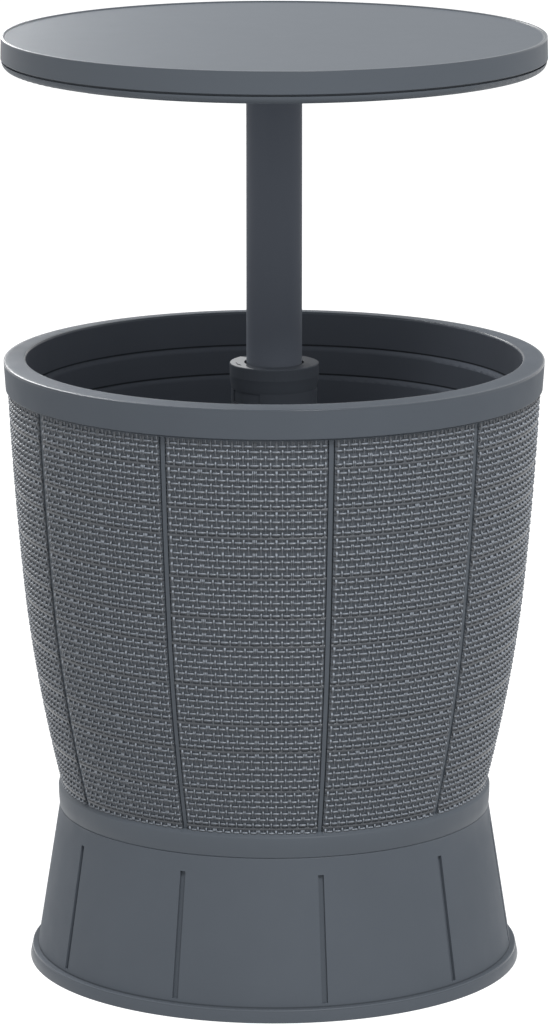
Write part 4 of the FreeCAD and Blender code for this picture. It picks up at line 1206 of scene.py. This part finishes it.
    def weft_strands(self, heights: list[float]) -> Strands:
        """Shape the level strands of one panel.

        Args:
            heights: Heights of the level strands.

        Returns:
            Corners as radius, angle and height, the faces, and each corner's painted light.
        """
        middle = self.warp_places()[0]
        end = self.panel_span() / 2
        turns, marks = [-end, -end + self.weft_tuck], [*self.weft_end]
        for k in range(self.warps - 1):
            for share, *levels in self.weft_path:
                turns.append(middle[k] + (middle[k + 1] - middle[k]) * share)
                marks.append((k, *levels))
        turns += [middle[-1], end - self.weft_tuck, end]
        marks += [(self.warps - 1, *self.weft_path[0][1:]), *reversed(self.weft_end)]
        column, leaving, coming, strand_light = np.array(marks).T
        turn, rounds = np.array(turns)[:, None], np.radians(self.weft_round)
        middling, gain, least = self.weft_light
        strands = []
        for row, z in enumerate(heights):
            over = np.where((row + column) % 2 == 0, coming, leaving)
            out = self.radius(z) - self.dive * (1 - over) / 2
            radius = out[:, None] - self.strand_depth * (1 - np.cos(rounds))
            shown = np.clip(middling + gain * over, least, 1.0) * strand_light
            strands.append(strand(radius, turn, z + self.weft_height / 2 * np.sin(rounds),
                                  shown[:, None] * np.array(self.weft_round_light)))
        return joined(strands)

    def flat_bands(self, heights: list[float]) -> Strands:
        """Shape the flat level bands that fill the broad rows of one panel.

        Args:
            heights: Heights of the level strands.

        Returns:
            Corners as radius, angle and height, the faces, and each corner's painted light.
        """
        half = self.panel_span() / 2
        turn = np.linspace(-half, half, self.band_steps)[:, None]
        side, sunk, wear_and_painted_light = np.array(self.band_section).T
        bands = []
        for above, below in zip(heights[1:-1], heights[2:]):
            if above - below >= self.weft_steps["b"] - self.row_slack:
                middle = above - self.band_drop
                radius = self.radius(middle) - self.band_sunk - sunk
                bands.append(strand(radius, turn, middle + side * self.band_height / 2, wear_and_painted_light))
        return joined(bands)

    def build_panels(self) -> list[bpy.types.Object]:
        """Build the ten panels of real strands.

        Returns:
            The panels, riding on the tub.
        """
        heights = self.weft_heights()
        polar, faces, wear_and_painted_light = joined([self.warp_strands(heights), self.weft_strands(heights),
                                     self.flat_bands(heights)])
        finish = made(self.finishes.weave)
        panels = []
        for number in range(self.panels):
            corners = turned(polar[:, 0], polar[:, 1] + self.panel_turn(number), polar[:, 2])
            # The corner attribute paints light on the strands: painted highlight on upper faces, painted
            # shade in hollows.
            panel = mesh_piece(f"weave_panel_{number + 1:02d}", corners, faces, finish, None, wear_and_painted_light)
            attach(panel, Body.TUB.value)
            panels.append(panel)
        return panels


@dataclass(frozen=True)
class Lamp:
    """Rectangular soft box that the camera doesn't see."""

    name: str
    place: Triple
    size: Pair
    power: float
    target: Triple = (0.0, 0.0, 0.6)
    heading: Triple | None = None

    def hang(self) -> None:
        """Hang the lamp, turned to its target, or along its heading where it has one."""
        data = bpy.data.lights.new(self.name, "AREA")
        data.shape = "RECTANGLE"
        data.size, data.size_y = self.size
        data.energy = self.power
        lamp = bpy.data.objects.new(self.name, data)
        lamp.location = self.place
        aim = Vector(self.heading) if self.heading else Vector(self.target) - Vector(self.place)
        lamp.rotation_euler = aim.to_track_quat("-Z", "Y").to_euler()
        lamp.visible_camera = False
        bpy.context.scene.collection.objects.link(lamp)


@dataclass
class Studio:
    """Camera, floor, backdrop and light."""

    camera_place: Triple = (0.0, -4.982, 1.512)
    camera_pitch: float = 0.215554
    lens: float = 194.08
    sensor: float = 36.0
    shift: float = 0.0003
    sight: float = 200.0
    floor_rings: tuple[float, ...] = (0.0, 0.6, 3.0, 30.0)
    floor_steps: int = 96
    world_level: float = 0.56
    lamps: tuple[Lamp, ...] = (
        Lamp("back_left_panel", (-0.67, 1.15, 1.17), (0.7, 0.5), 9.0, heading=(0.0, -1.0, 0.0)),
        Lamp("left_softbox", (-0.95, 0.75, 2.0), (0.35, 0.35), 5.0),
        Lamp("high_softbox", (1.5, -3.8, 6.4), (1.8, 1.8), 260.0),
    )

    def place_camera(self) -> None:
        """Set up the camera where the picture was taken from."""
        data = bpy.data.cameras.new("view_camera")
        data.lens = self.lens
        data.sensor_width = self.sensor
        data.shift_x = self.shift
        data.clip_end = self.sight
        camera = bpy.data.objects.new("view_camera", data)
        camera.location = self.camera_place
        camera.rotation_euler = (math.pi / 2 - self.camera_pitch, 0.0, 0.0)
        bpy.context.scene.collection.objects.link(camera)
        bpy.context.scene.camera = camera

    def lay_floor(self) -> None:
        """Lay the round pale floor."""
        shape = (len(self.floor_rings), self.floor_steps)
        turns = np.linspace(0, 2 * math.pi, self.floor_steps, endpoint=False)
        radius = np.broadcast_to(np.array(self.floor_rings)[:, None] * 1000.0, shape)
        corners = turned(radius, np.broadcast_to(turns, shape), np.zeros(shape))
        faces = grid_faces(*shape, loop_columns=True)
        floor = mesh_piece("studio_floor", corners, faces, StudioFloor().material())

    def light_world(self) -> None:
        """Light the room evenly, with a backdrop that is white to the eye and to gloss."""
        world = bpy.data.worlds.new("plain_room")
        bpy.context.scene.world = world
        world.use_nodes = True
        tree = world.node_tree
        back = tree.nodes["Background"]
        back.inputs["Color"].default_value = (1.0, 1.0, 1.0, 1.0)
        level = tree.nodes.new("ShaderNodeMapRange")
        level.inputs["To Min"].default_value = self.world_level
        level.inputs["To Max"].default_value = 1.0
        tree.links.new(seen_directly(tree), level.inputs["Value"])
        tree.links.new(level.outputs["Result"], back.inputs["Strength"])

    def build(self) -> None:
        """Set up the whole studio."""
        self.place_camera()
        self.lay_floor()
        for lamp in self.lamps:
            lamp.hang()
        self.light_world()
        bpy.context.scene.view_settings.view_transform = "Standard"


@dataclass
class CarriedParts:
    """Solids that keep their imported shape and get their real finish."""

    nodes: dict[str, bpy.types.Object]
    finishes: Finishes

    def dress(self) -> None:
        """Give each carried solid its finish."""
        wardrobe: dict[Finish, tuple[str, ...]] = {
            self.finishes.foot: ("base_skirt",),
            self.finishes.slate: ("lid_bottom",),
            self.finishes.liner: ("liner", "drain_plug"),
            self.finishes.post: ("post_sleeve", "post_foot", "drain_fitting", "drain_nut", "lid_hub"),
            self.finishes.collar: ("post_cap",),
            self.finishes.pole: ("pole",),
            self.finishes.bearing: ("guide_bush", "carriage", "guide_ring", "brake_shoe", "lock_cam"),
            self.finishes.foam: ("foam_jacket", "foam_floor", "lid_foam"),
            self.finishes.rubber: ("sleeve_seal", "drain_gasket", "brake_pad", "plug_oring"),
            self.finishes.steel: ("base_screws", "post_screws", "cam_rivets", "cam_clip", "hub_pin",
                                  "hub_screws", "lid_screws"),
        }
        for finish, names in wardrobe.items():
            material = made(finish)
            for name in names:
                solid = self.nodes[name].data
                solid.materials.clear()
                solid.materials.append(material)
                LOG.info("dressed %s with %s", name, finish.name)


def main() -> None:
    """Load the frame, dress it and set up the studio."""
    logging.basicConfig(level=logging.INFO, format="%(name)s: %(message)s")
    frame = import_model()
    Studio().build()
    LOG.info("studio is set up")
    finishes = Finishes()
    CarriedParts(frame["nodes"], finishes).dress()
    for piece in (TableTop(finishes).build(), RimCap(finishes).build()):
        LOG.info("built %s", piece.name)
    collar = Collar(finishes)
    for piece in (collar.build_taper(), *collar.build_plate()):
        LOG.info("built %s", piece.name)
    shell = WovenShell(finishes)
    LOG.info("built %s", shell.build_shell().name)
    for panel in shell.build_panels():
        LOG.info("built %s with %d faces", panel.name, len(panel.data.polygons))


if __name__ == "__main__":
    main()
